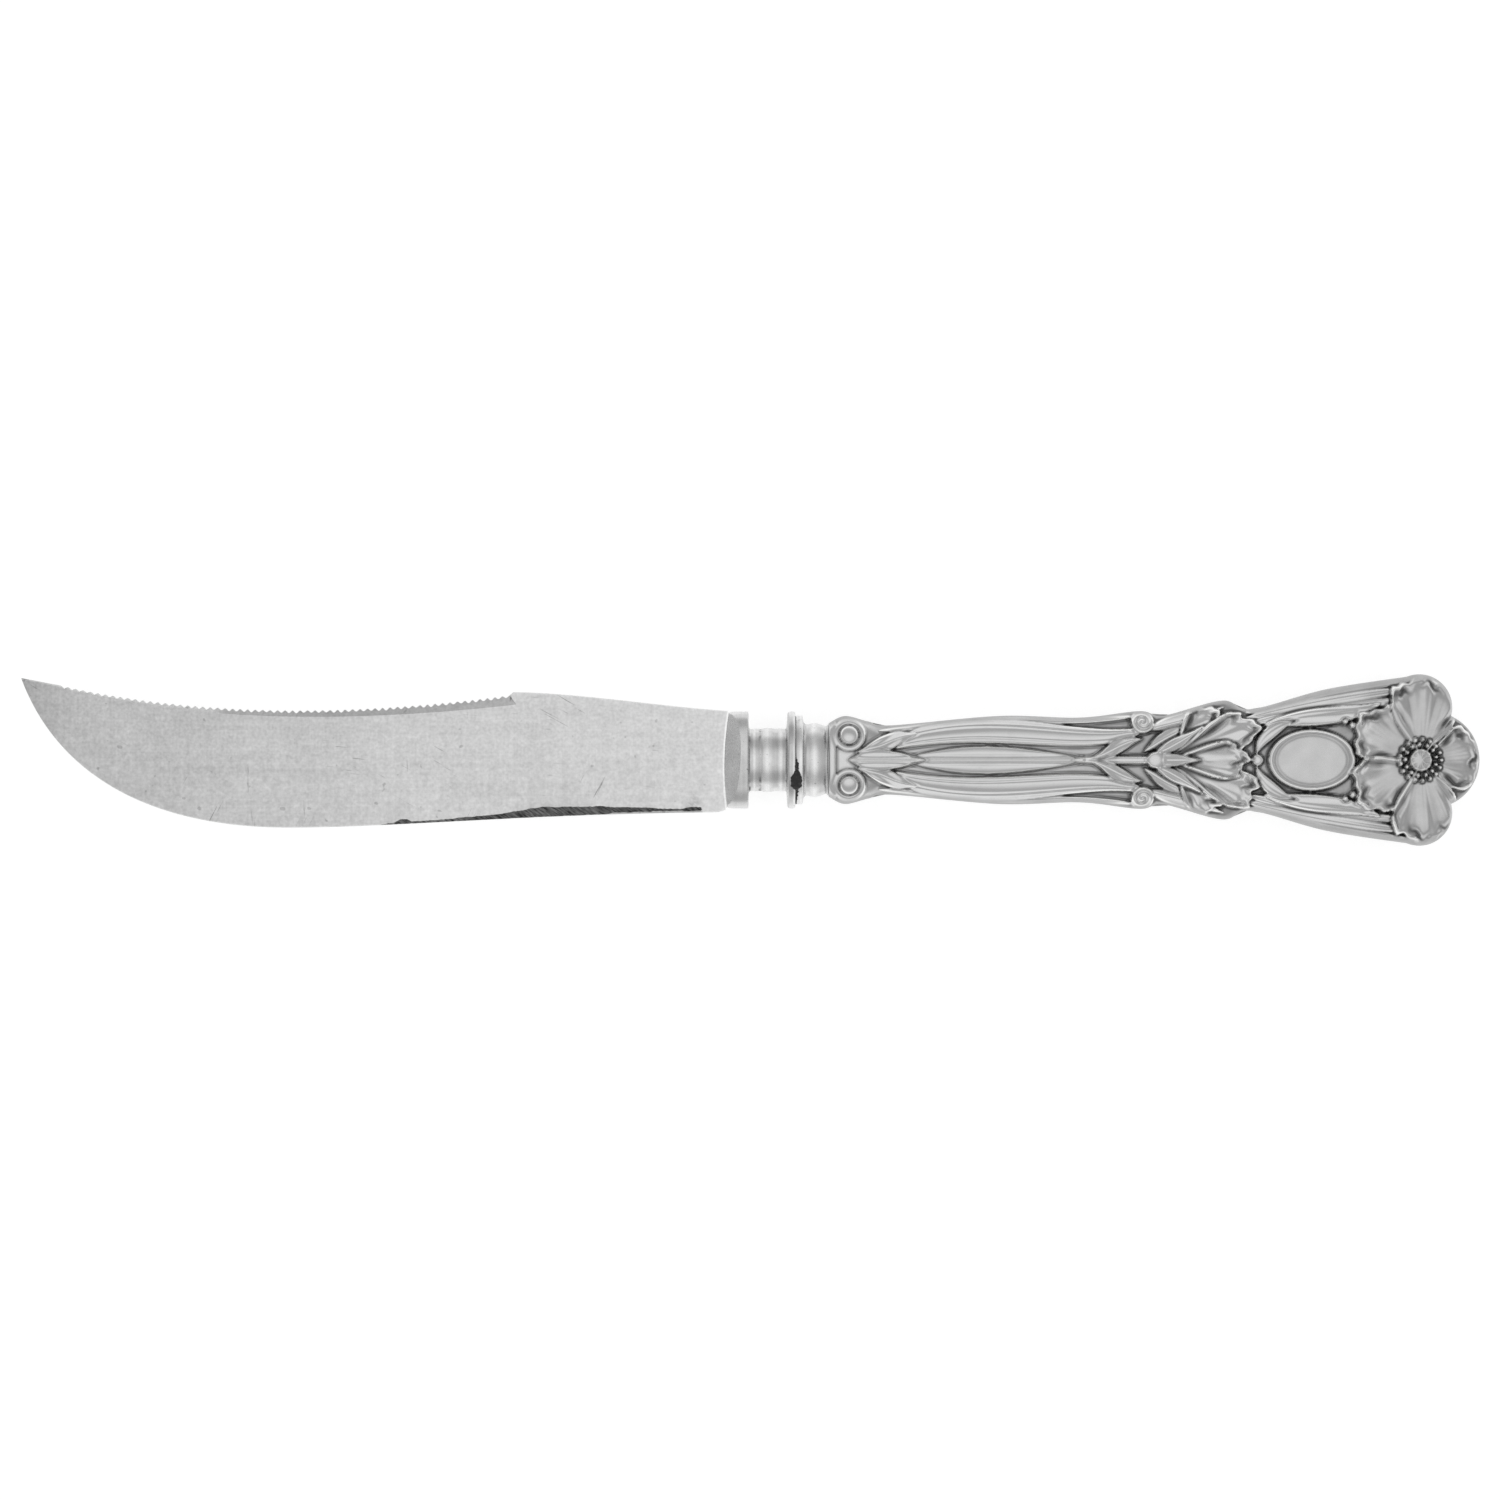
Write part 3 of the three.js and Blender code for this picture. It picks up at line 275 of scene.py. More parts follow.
# %% Patterns
def place_of(tree, scale=(1, 1, 1), turn=0):
    """Object coordinates, stretched and turned, for a pattern that runs one way."""
    here = add(tree, "TexCoord", {}, out="Object")
    turned = add(tree, "Mapping", {"Vector": here, "Rotation": (0, 0, turn)})
    return add(tree, "Mapping", {"Vector": turned, "Scale": scale})


def noise(tree, place, scale, detail=3.0):
    return add(tree, "TexNoise", {"Vector": place, "Scale": scale, "Detail": detail})


def sums(tree, operation, *values, clamp=False):
    return add(tree, "Math", dict(enumerate(values)), operation=operation, use_clamp=clamp)


def ranged(tree, value, low, high, to_low=0.0, to_high=1.0):
    inputs = {"Value": value, "From Min": low, "From Max": high, "To Min": to_low, "To Max": to_high}
    return add(tree, "MapRange", inputs)


def swing(tree, value, amount, middle):
    """A value that swings round 0.5, scaled and laid over another value."""
    return sums(tree, "MULTIPLY_ADD", sums(tree, "SUBTRACT", value, 0.5), amount, middle)


def greys(tree, value, stops):
    """A ramp of greys: each stop is a place from 0 to 1 and a brightness."""
    ramp = tree.nodes.new("ShaderNodeValToRGB")
    elements = ramp.color_ramp.elements
    while len(elements) < len(stops):
        elements.new(0.5)
    for element, (at, level) in zip(elements, stops):
        element.position = at
        element.color = (level, level, level, 1)
    tree.links.new(value, ramp.inputs[0])
    return ramp.outputs[0]


print("patterns: noise, sums, ranges, swings and greys")

# %% [markdown]
# Oxidised silver for the handle
#
# The hollows of the struck relief were darkened on purpose and have kept their dark skin, while the high
# places are worn bright. The mesh carries a number called `oxide`, 0 on the ridges and 1 in
# the deepest hollows, and it also holds painted shade in a band along the edge. The finish adds a little
# noise to it, so that the border between dark and bright is uneven, and sends it through a ramp of greys. A
# second number, `rubbed`, mixes in bright silver on the sharpest ridges, which hands and cloths
# rub the most, and it also paints highlights along them. Dark silver is also rougher.

# %% Finish of the handle
RUB_AND_HIGHLIGHT_SILVER = (0.93, 0.93, 0.92, 1)


def handle_finish():
    finish, tree, shader = finish_named("oxidised silver")
    here = place_of(tree)
    patches = noise(tree, here, 500.0, 4.0)
    grain = noise(tree, here, 5000.0, 2.0)
    dark = swing(tree, patches, 0.25, corner_number(tree, "oxide"))
    dark = sums(tree, "MAXIMUM", swing(tree, grain, 0.14, dark), 0.0, clamp=True)
    oxide_tone = greys(tree, dark, [(0.0, 0.66), (0.2, 0.56), (0.5, 0.4), (0.8, 0.25), (1.0, 0.14)])
    # bright silver on the ridges: wear, and painted highlights
    colour = mixed(tree, corner_number(tree, "rubbed"), oxide_tone, RUB_AND_HIGHLIGHT_SILVER)
    wire(tree, shader, colour, ranged(tree, dark, 0, 1, 0.22, 0.5), grain, 0.006 * MM)
    return finish


HANDLE_SILVER = handle_finish()
print("finish:", HANDLE_SILVER.name)

# %% [markdown]
# Satin plate for the blade
#
# The blade is plated and has been wiped for a century, so it is satin, with fine hairlines along it and
# across it, a few longer scratches and some pits. The cutting edge was ground after plating and shows
# dark steel there. The mesh carries three numbers for this: `strip` is 1 on the border of the bare strip
# and lower inside it, and noise makes that border ragged. `smudge` darkens a dirty patch over the end of
# the strip, and `rubbed` brightens the rim of the heel as a painted highlight. The plate also
# grows paler towards the heel.

# %% Finish of the blade
def blade_finish():
    finish, tree, shader = finish_named("satin plate")
    here = place_of(tree)
    hairlines = sums(
        tree,
        "ADD",
        noise(tree, place_of(tree, (70, 2600, 70)), 1.0),
        noise(tree, place_of(tree, (2600, 110, 70)), 1.0),
    )
    grain = noise(tree, here, 3500.0, 2.0)
    along = add(tree, "SeparateXYZ", {"Vector": here}, out="X")
    tone = ranged(tree, along, TIP_X * MM, HEEL_X * MM, 0.53, 0.72)
    tone = swing(tree, noise(tree, here, 60.0, 5.0), 0.16, tone)
    tone = sums(tree, "MULTIPLY_ADD", sums(tree, "SUBTRACT", hairlines, 1.0), 0.1, tone)
    for scale, amount in ((420.0, 0.1), (1100.0, 0.15), (2600.0, 0.27)):
        tone = swing(tree, noise(tree, here, scale, 2.0), amount, tone)
    pits = ranged(tree, noise(tree, here, 900.0, 1.0), 0.735, 0.77)
    marks = sums(tree, "MULTIPLY", pits, 0.6)
    for turn, where in ((0.5, 0.3), (-1.1, 0.7), (1.5, 1.1), (0.1, 1.9)):
        apart = ranged(tree, noise(tree, place_of(tree, (110, 110, 110), where), 1.0, 1.0), 0.58, 0.66)
        line = ranged(tree, noise(tree, place_of(tree, (230, 5200, 90), turn), 1.0, 1.0), 0.72, 0.77)
        marks = sums(tree, "MAXIMUM", marks, sums(tree, "MULTIPLY", line, apart))
    tone = sums(tree, "MULTIPLY_ADD", marks, -0.27, tone)
    ragged = swing(tree, noise(tree, here, 1300.0, 5.0), 1.3, corner_number(tree, "strip"))
    bare = ranged(tree, ragged, 0.92, 1.06, 1.0, 0.0)
    streaks = noise(tree, place_of(tree, (900, 5000, 900), 0.6), 1.0)
    steel = ranged(tree, streaks, 0.32, 0.68, 0.035, 0.24)
    smeared = ranged(tree, streaks, 0.35, 0.65, 0.1, 0.55)
    smudge = sums(tree, "MULTIPLY", corner_number(tree, "smudge"), smeared)
    tone = sums(tree, "MULTIPLY_ADD", smudge, -0.9, tone)
    # painted highlight: the rim of the heel is made brighter
    tone = sums(tree, "MULTIPLY_ADD", corner_number(tree, "rubbed"), 0.3, tone)
    colour = mixed(tree, bare, tone, steel)
    wire(tree, shader, colour, ranged(tree, grain, 0.3, 0.7, 0.32, 0.42), hairlines, 0.003 * MM)
    return finish


BLADE_PLATE = blade_finish()
print("finish:", BLADE_PLATE.name)

# %% [markdown]
# Turned silver for the bolster and the ferrule
#
# These two were turned, so their fine lines run round them: noise that changes quickly along X and hardly
# at all round the axis. Dirt has stayed in the grooves, and they are also darkened as painted shade. The
# mesh carries `grime_and_groove_shade`, which is 1 in a groove, and patchy noise decides where the groove
# is dark. It also carries `polish_and_highlight`, how bright a place was rubbed, together with painted
# highlights on the beads and painted reflections on the edges, and `facet`, which is 1 on the two filed
# faces of the bolster: they have no rings and one even tone.

# %% Finish of the turned pieces
# the dark of the grooves: dirt, and painted shade
GROOVE_DIRT_AND_SHADE = (0.04, 0.04, 0.04, 1)
FACET_TONE = 0.225
LEAST_POLISH_AND_HIGHLIGHT = -0.5


def turned_finish():
    finish, tree, shader = finish_named("turned silver")
    here = place_of(tree)
    rings = noise(tree, place_of(tree, (5200, 160, 160)), 1.0)
    patches = noise(tree, here, 420.0, 4.0)
    grain = noise(tree, here, 3200.0)
    facet = corner_number(tree, "facet")
    turned_part = sums(tree, "SUBTRACT", 1.0, facet)
    polish_and_highlight = sums(tree, "MULTIPLY", corner_number(tree, "polish_and_highlight"), turned_part)
    tone = ranged(tree, patches, 0.3, 0.7, -0.06, 0.06)
    # brighter where polished, and where highlights and reflections are painted
    tone = sums(tree, "ADD", tone, ranged(tree, polish_and_highlight, LEAST_POLISH_AND_HIGHLIGHT, 1, 0.43, 0.82))
    tone = sums(tree, "MULTIPLY_ADD", facet, FACET_TONE, tone)
    rings = swing(tree, rings, turned_part, 0.5)
    tone = swing(tree, rings, 0.16, tone)
    # dark in the grooves: dirt, and painted shade
    grime_and_groove_shade = corner_number(tree, "grime_and_groove_shade")
    caught = ranged(tree, noise(tree, here, 700.0, 4.0), 0.46, 0.62)
    specks = ranged(tree, noise(tree, here, 1900.0, 2.0), 0.7, 0.76)
    dirt_and_groove_shade = sums(tree, "MULTIPLY_ADD", grime_and_groove_shade, caught, sums(tree, "MULTIPLY", specks, 0.5), clamp=True)
    colour = mixed(tree, dirt_and_groove_shade, tone, GROOVE_DIRT_AND_SHADE)
    wire(tree, shader, colour, ranged(tree, grain, 0.3, 0.7, 0.2, 0.34), rings, 0.004 * MM)
    return finish


TURNED_SILVER = turned_finish()
print("finish:", TURNED_SILVER.name)

# %% [markdown]
# Solder and cement
#
# Solder is a duller, darker grey than silver, with a cast, grainy skin. The cement that fills the handle
# and oozes from the joint is a black resin with brick dust in it, so it is rough and lumpy, with a few
# paler grains and a weak gloss.

# %% Finishes of the solder and the cement
def solder_finish():
    finish, tree, shader = finish_named("solder")
    here = place_of(tree)
    lumps = noise(tree, here, 900.0, 4.0)
    grain = noise(tree, here, 6000.0)
    colour = greys(tree, lumps, [(0.3, 0.3), (0.7, 0.55)])
    wire(tree, shader, colour, ranged(tree, grain, 0.3, 0.7, 0.38, 0.55), lumps, 0.02 * MM)
    return finish


def cement_finish():
    finish, tree, shader = finish_named("black cement", metallic=0.0)
    here = place_of(tree)
    lumps = noise(tree, here, 1800.0, 5.0)
    grains = noise(tree, here, 4200.0, 2.0)
    colour = greys(tree, grains, [(0.0, 0.008), (0.6, 0.014), (0.74, 0.09)])
    wire(tree, shader, colour, ranged(tree, grains, 0.3, 0.7, 0.38, 0.7), lumps, 0.12 * MM)
    return finish


SOLDER = solder_finish()
CEMENT = cement_finish()
print("finishes:", SOLDER.name, "and", CEMENT.name)

# %% [markdown]
# Outline of the blade
#
# The blade is a flat bar with a curved belly, a back that sags along the saw and a low hump where the saw
# ends. Each line is a Bezier curve between two points, with the same points and handles as the solid. A
# curve can't be asked for its height at a station, so each is sampled finely and read between samples.

# %% Outline of the blade
BLADE_LENGTH, JOINT_GAP = 87.2, 0.05
tip_at = (HEEL_X - JOINT_GAP - BLADE_LENGTH, 10.15)
deepest_at = (tip_at[0] + 33.1, -8.35)
saw_start = (tip_at[0] + 4.9, 9.2)
hump_at = (tip_at[0] + 60.85, 8.4)
saw_end = (hump_at[0] - 0.4, 8.0)
heel_back, heel_belly = (HEEL_X, 6.05), (HEEL_X, -6.45)


def line_between(start, out, back, end):
    """A cubic whose handles are offsets from its two ends."""
    handles = [start, np.add(start, out), np.add(end, back), end]
    return bezier(handles, 400)


belly_span, belly_drop = deepest_at[0] - tip_at[0], tip_at[1] - deepest_at[1]
heel_span, saw_span = HEEL_X - deepest_at[0], saw_end[0] - saw_start[0]
back_span = HEEL_X - hump_at[0]
belly_line = np.concatenate([
    line_between(tip_at, (0.1 * belly_span, -0.49 * belly_drop), (-0.63 * belly_span, 0), deepest_at),
    line_between(deepest_at, (0.25 * heel_span, 0), (-0.45 * heel_span, -0.15), heel_belly)[1:],
])
back_line = np.concatenate([
    [tip_at],
    line_between(saw_start, (saw_span / 3, -4.1), (-saw_span / 3, -2.46), saw_end),
    line_between(hump_at, (0.3 * back_span, -0.1), (-0.33 * back_span, 0.65), heel_back),
])
print(f"belly {belly_line[:, 1].min():.2f} mm at its deepest, saw {saw_span:.1f} mm long")

# %% [markdown]
# Stations along the blade
#
# A skin needs a section wherever something changes. Each of the 60 saw teeth gets eight stations, which
# rounds its crest and its root as a worn file-cut tooth is rounded. Some teeth are more worn than others,
# so their depth wavers along the saw. The plain back needs few stations, and the fillet at the heel, where
# the blade swells into the bolster, needs them close together. The lower corner of the heel is rounded.

# %% Stations along the blade
TOOTH_COUNT, TOOTH_STEPS, TOOTH_DEPTH = 60, 8, 0.36
TIP_BLUNT, HUMP_LENGTH, FILLET = 0.06, 0.8, 3.4
CORNER_RISE, CORNER_LENGTH = 0.42, 1.6
stations = np.concatenate([
    tip_at[0] + TIP_BLUNT + (saw_start[0] - tip_at[0] - TIP_BLUNT) * np.linspace(0, 1, 16)[:-1] ** 1.5,
    np.linspace(saw_start[0], saw_end[0], TOOTH_COUNT * TOOTH_STEPS + 1),
    np.linspace(saw_end[0], hump_at[0], 4)[1:],
    np.linspace(hump_at[0], hump_at[0] + HUMP_LENGTH, 9)[1:],
    np.linspace(hump_at[0] + HUMP_LENGTH, HEEL_X - FILLET, 56)[1:],
    HEEL_X - FILLET * np.linspace(1, 0, 24)[1:] ** 1.6,
])
back = np.interp(stations, back_line[:, 0], back_line[:, 1])
belly = np.interp(stations, belly_line[:, 0], belly_line[:, 1])
belly = belly + CORNER_RISE * np.clip((stations - HEEL_X + CORNER_LENGTH) / CORNER_LENGTH, 0, 1) ** 2.2
along_saw = np.clip((stations - saw_start[0]) / saw_span, 0, 1)
on_saw = (stations > saw_start[0]) & (stations < saw_end[0])
worn = 0.88 + 0.16 * np.sin(1.7 * stations) * np.sin(0.61 * stations + 1)
tooth = TOOTH_DEPTH * worn * (0.5 - 0.5 * np.cos(2 * np.pi * TOOTH_COUNT * along_saw)) ** 0.8 * on_saw
print(f"{len(stations)} stations, teeth {saw_span / TOOTH_COUNT:.2f} mm apart")

# %% [markdown]
# The bare strip and the saw's bevel
#
# Two bands run along the blade. The cutting edge was ground bare in a strip that starts part of the way
# along the belly, and its top and foot wander as they do on an edge that was whetted by hand. Under the
# teeth runs a file-cut bevel, narrow near the tip and widest at the hump, where it runs out on a slant.

# %% The bare strip and the saw's bevel
STRIP_X = np.array([
    -46, -44, -43.2, -42.4, -41.8, -39, -36, -31, -28.4, -26.2,
    -25.6, -18, -17.4, -12, -11, -8.2, -7.6, -6.05, -5.9,
])
STRIP_TOP = np.array([
    0, 0.25, 0.6, 0.6, 0.3, 0.28, 0.4, 0.62, 0.9, 1.24,
    1.24, 1.04, 0.9, 0.68, 0.52, 0.5, 0.66, 0.66, 0.0,
])
STRIP_FOOT = np.array([0] * 11 + [0.05, 0.15, 0.25, 0.27, 0.22, 0.2, 0.2, 0.0])
strip = np.interp(stations, STRIP_X, STRIP_TOP)
strip_foot = np.interp(stations, STRIP_X, STRIP_FOOT)
RUN_OUT, RUN_OUT_SLOPE = 0.8, 0.13
height = back - belly
run_out = np.clip((stations - saw_end[0]) / RUN_OUT, 0, 1)
saw_line = np.where(run_out > 0, saw_end[1] + RUN_OUT_SLOPE * (stations - saw_end[0]), back)
band = 0.15 + 0.25 * smooth(along_saw / 0.25) + 0.2 * smooth((along_saw - 0.33) / 0.04)
band = band + 0.65 * along_saw ** 2
band = np.minimum(np.where(run_out < 1, band, 0.5), 0.3 * height)
narrow, wide = band[on_saw].min(), band[on_saw].max()
print(f"strip up to {strip.max():.2f} mm high, bevel {narrow:.2f} to {wide:.2f} mm")

# %% [markdown]
# Rows of a section
#
# Twenty-one points make one side of a section, from the belly to the back: eight on the strip, nine on the
# flat and four on the bevel. Joined along the blade they are rows, and the borders of the strip and of the
# bevel each lie on a row, which keeps them crisp. Where the bevel runs out, its rows leave the teeth and
# go down to the flat on a slant, and the plain back beyond has only a small chamfer.

# %% Rows of a section
CHAMFER, LEAST_STRIP = 0.12, 0.14
strip_high = np.minimum(np.maximum(strip, LEAST_STRIP), 0.4 * height)
low_row = belly + strip_high
top_row = np.where(run_out < 1, saw_line, back) - np.maximum(band, tooth + 0.02)
cut_row = np.maximum(saw_line - band * run_out, top_row + 0.01)
on_bevel = top_row[:, None] + (back - tooth - top_row)[:, None] * np.array([0.25, 0.5, 0.75, 1])
beside_bevel = np.stack([cut_row, cut_row + 0.05, back - CHAMFER, back], 1)
past_bevel = back[:, None] - np.array([0.4, 0.3, CHAMFER, 0])
top_rows = np.where(run_out[:, None] < 1, beside_bevel, past_bevel)
top_rows = np.where(run_out[:, None] > 0, top_rows, on_bevel)
flat_rows = low_row[:, None] + (top_row - low_row)[:, None] * np.linspace(0, 1, 9)
side_y = np.concatenate([
    belly[:, None] + strip_high[:, None] * np.linspace(0, 1, 9)[:-1],
    flat_rows,
    top_rows,
], 1)
print(f"{side_y.shape[1]} points on each side of a section")

# %% [markdown]
# Thickness of a section
#
# Across, the blade is a thin wedge, thickest at the back. The ground strip thins it to an edge, the file
# took some off under the teeth, and near the heel it swells into the bolster. The other side is the mirror
# image of this one. The three numbers for the finish are found here too, from the same rows.

# %% Thickness of a section
BACK_HALF, BELLY_HALF, EDGE_HALF, HEEL_HALF, FILED_HALF = 0.75, 0.4, 0.07, 0.86, 0.2
STRIP_FADE, SMUDGE_X, RIM_WIDE, NO_STRIP = 0.25, -7.1, 0.26, 3
rise = np.clip((stations - HEEL_X + FILLET) / FILLET, 0, 1) ** 2
thin = np.clip(height / 7, 0.12, 1)


def half_thickness(y):
    across = (y - belly[:, None]) / height[:, None]
    half = BELLY_HALF + (BACK_HALF - BELLY_HALF) * across
    cut = np.clip(1 - (y - belly[:, None]) / strip_high[:, None], 0, 1)
    half = half * (1 - cut) + EDGE_HALF * cut
    bevel = np.clip(1 - (saw_line[:, None] - y) / band[:, None], 0, 1)
    chamfer = np.clip(1 - (back[:, None] - y) / CHAMFER, 0, 1)
    filed = (run_out[:, None] < 1) & (y <= cut_row[:, None] + 1e-6)
    half = half - (half - FILED_HALF) * np.where(filed, bevel, chamfer)
    return half * thin[:, None] + (HEEL_HALF - BACK_HALF) * rise[:, None]


side_z = half_thickness(side_y)
over_edge = side_y - belly[:, None]
strip_wide = np.maximum(strip - strip_foot, 0.02)
strip_middle = (strip + strip_foot) / 2
strip_mark = 1 + (np.abs(over_edge - strip_middle[:, None]) - strip_wide[:, None] / 2) / STRIP_FADE
strip_mark = np.where(strip[:, None] > 0.02, strip_mark, NO_STRIP)
smudge = bump(stations[:, None] - SMUDGE_X, 0.75) * bump(over_edge - 1.1, 0.8)
# painted highlight along the rim of the heel, where it meets the bolster
rubbed = smooth((stations[:, None] - HEEL_X + RIM_WIDE) / 0.1) + 0 * over_edge
print(f"blade up to {2 * side_z.max():.2f} mm thick, edge {2 * side_z[:, 0].min():.2f} mm")

# %% [markdown]
# The blade
#
# The two sides are joined into one loop of points at each station, and the loops into a skin. The heel
# isn't cut off straight: it follows the swelling front of the bolster, so its last stations are bent. The
# tang is the same forging, a plain tapered bar that runs on through the bolster into the handle. It needs
# only two loops, each given by its place, half its height and half its thickness.

# %% The blade
DRUM_HIGH, DRUM_THICK, DRUM_POWER = 6, 3.4, 2.7
DOME_REACH, DOME_DEPTH, HEEL_SKEW, HEEL_CLEAR = 0.25, 0.45, 0.02, 0.03
TANG = ((HEEL_X - 0.22, 2.1, 0.52), (box_mm("blade")[1][0], 1.2, 0.48))


def bolster_front(y, z):
    """Where the swelling front of the bolster lies, across the knife."""
    ring = np.abs(y / DRUM_HIGH) ** DRUM_POWER + np.abs(z / DRUM_THICK) ** DRUM_POWER
    ring = ring ** (1 / DRUM_POWER)
    return HEEL_X - DOME_REACH + DOME_DEPTH * ring ** 2 + HEEL_SKEW * y


loop_y = np.concatenate([side_y, side_y[:, ::-1], side_y[:, :1]], 1)
loop_z = np.concatenate([side_z, -side_z[:, ::-1], side_z[:, :1]], 1)
loop_x = np.repeat(stations[:, None], loop_y.shape[1], 1)
bend = smooth((loop_x - HEEL_X + FILLET) / FILLET)
loop_x = loop_x + bend * (bolster_front(loop_y, loop_z) - HEEL_CLEAR - HEEL_X)
count = side_y.shape[1]
across = np.concatenate([np.linspace(-1, 1, count), np.linspace(1, -1, count), [-1]])
face = np.concatenate([np.ones(count), -np.ones(count), [1]])
tang = []
for x, half_height, half in TANG:
    corner = np.clip((1 - np.abs(across)) * half_height / (0.4 * half), 0, 1)
    tang.append(np.stack([x + 0 * across, half_height * across, face * half * (0.6 + 0.4 * corner)], 1))
loops = np.concatenate([np.stack([loop_x, loop_y, loop_z + SEAM_Z], 2), np.array(tang) + (0, 0, SEAM_Z)])


def round_loop(values, on_tang):
    """Marks of one side, carried round the loop and on along the tang."""
    values = np.concatenate([values, values[:, ::-1], values[:, :1]], 1)
    return np.concatenate([values, np.full((len(tang), values.shape[1]), on_tang)])


blade = skin(
    "blade_plated",
    loops,
    strip=round_loop(strip_mark, NO_STRIP),
    smudge=round_loop(smudge, 0.0),
    rubbed=round_loop(rubbed, 0.0),
)
close_up()
settle(blade, BLADE_PLATE, "plated_blade", "blade", angle=18)

# %% [markdown]
# Turned pieces
#
# The bolster and the ferrule are oval turnings. By hand one draws an oval ring, extrudes it a little way,
# scales it, and goes on until the whole profile has been followed. `turned` does that with the same
# operators: it takes a list of stations, each with its half-height and half-thickness. `rounded` first
# cuts the corners of the list twice, so that beads and coves come out smooth.

# %% Turned pieces
RING_POINTS = 120


def rounded(profile, times=2):
    profile = np.array(profile, float)
    for _ in range(times):
        near = 0.75 * profile[:-1] + 0.25 * profile[1:]
        far = 0.25 * profile[:-1] + 0.75 * profile[1:]
        inner = np.stack([near, far], 1).reshape(-1, profile.shape[1])
        profile = np.concatenate([profile[:1], inner, profile[-1:]])
    return profile


def turned(name, profile):
    deselect()
    bpy.ops.mesh.primitive_circle_add(vertices=RING_POINTS, radius=1, fill_type="NOTHING")
    piece = bpy.context.object
    piece.name = piece.data.name = name
    bpy.ops.object.mode_set(mode="EDIT")
    bpy.ops.mesh.select_all(action="SELECT")
    x, high, thick = profile[0]
    bpy.ops.transform.rotate(value=math.pi / 2, orient_axis="Y", center_override=(0, 0, 0))
    bpy.ops.transform.resize(value=(1, high * MM, thick * MM), center_override=(0, 0, 0))
    bpy.ops.transform.translate(value=(x * MM, 0, SEAM_Z * MM))
    for next_x, next_high, next_thick in profile[1:]:
        step = {"value": ((next_x - x) * MM, 0, 0)}
        bpy.ops.mesh.extrude_region_move(TRANSFORM_OT_translate=step)
        bpy.ops.transform.resize(
            value=(1, next_high / high, next_thick / thick),
            center_override=(next_x * MM, 0, SEAM_Z * MM),
        )
        x, high, thick = next_x, next_high, next_thick
    bpy.ops.object.mode_set(mode="OBJECT")
    return piece


print("turned pieces have", RING_POINTS, "points to a ring")

# %% [markdown]
# Wear and painted light of the turned pieces
#
# Wear follows the shape. Grooves keep dirt and are also darkened as painted shade, and beads are rubbed
# bright and carry painted highlights, so both are bands round the piece, each given by its place along the
# knife and its width. The sides that face across the knife, which are the top and bottom edges seen from
# above, are made bright as a painted reflection, and the normals of the mesh tell which places face that
# way.

# %% Wear and painted light of the turned pieces
SIDE_REFLECTION = 1.15


def corners_mm(piece):
    return corners_of(piece).astype(float) / MM


def bands(x, places):
    return sum(bump(x - at, width) for at, width in places)


def store_wear_and_light(piece, grime_and_groove_shade, polish_and_highlight):
    flat = np.empty(len(piece.data.vertices) * 3, np.float32)
    piece.data.vertex_normals.foreach_get("vector", flat)
    # painted reflection: faces that turn sideways, the top and bottom edges seen from above, are made
    # bright
    sideways = smooth((np.abs(flat.reshape(-1, 3)[:, 1]) - 0.7) / 0.2)
    polish_and_highlight = np.maximum(polish_and_highlight, SIDE_REFLECTION * sideways + LEAST_POLISH_AND_HIGHLIGHT)
    store(piece, "grime_and_groove_shade", np.clip(grime_and_groove_shade, 0, 1))
    store(piece, "polish_and_highlight", np.clip(polish_and_highlight, LEAST_POLISH_AND_HIGHLIGHT, 1))
    print(f"{piece.name}: {(grime_and_groove_shade > 0.5).mean():.2f} in grooves, {(polish_and_highlight > 0.5).mean():.2f} rubbed bright")


print("polish goes from", LEAST_POLISH_AND_HIGHLIGHT, "to 1")

# %% [markdown]
# The bolster
#
# From the blade backwards: a swelling front, a plain drum, a step down to a neck with a bead, and a
# flange. All of it is one turning, given as places behind the heel with half the height at each. The drum
# is squarer than an oval, so its corners are then pushed outwards, and its front leans a little, as the
# heel of the blade does.

# %% The bolster
DRUM_LENGTH, LEAN_LENGTH, NECK_FLATNESS = 2.72, 1.2, 0.857
FLANGE_HIGH, FLANGE_THICK = 6, 4.7
shares = (0.04, 0.2, 0.4, 0.55, 0.68, 0.78, 0.86, 0.93, 0.98)
front = [(s, DOME_DEPTH * s * s - DOME_REACH) for s in shares]
drum = [(HEEL_X + x, DRUM_HIGH * s, DRUM_THICK * s) for s, x in front]
drum_back = ((0.6, 0), (2.4, 0), (2.6, 0), (2.7, 0.1))
drum += [(HEEL_X + x, DRUM_HIGH - inset, DRUM_THICK - inset) for x, inset in drum_back]
neck = [
    (DRUM_LENGTH, 4.25), (2.78, 3.95), (2.88, 3.86), (3.2, 3.85), (3.6, 3.88), (3.95, 3.86), (4.1, 3.83),
    (4.25, 3.84), (4.5, 3.92), (4.8, 3.97), (5.2, 3.97), (5.6, 3.91), (5.9, 3.86), (6.2, 3.86), (6.5, 3.9),
    (6.8, 3.89), (7.1, 3.86), (7.3, 3.88), (7.4, 4.2), (7.46, 5.2),
]
neck = [(HEEL_X + x, high, high * NECK_FLATNESS) for x, high in neck]
rim = [
    (7.48, 5.7), (7.56, 5.9), (7.75, FLANGE_HIGH), (8.3, FLANGE_HIGH), (8.44, 5.93), (8.47, 5.75),
    (8.48, 5.0), (8.48, 0.4),
]
rim = [(HEEL_X + x, high, high * FLANGE_THICK / FLANGE_HIGH) for x, high in rim]
bolster = turned("bolster_turned", rounded(drum + neck + rim))
corners = corners_mm(bolster)
in_drum = corners[:, 0] < HEEL_X + DRUM_LENGTH - 0.01
y, z = corners[:, 1], corners[:, 2] - SEAM_Z
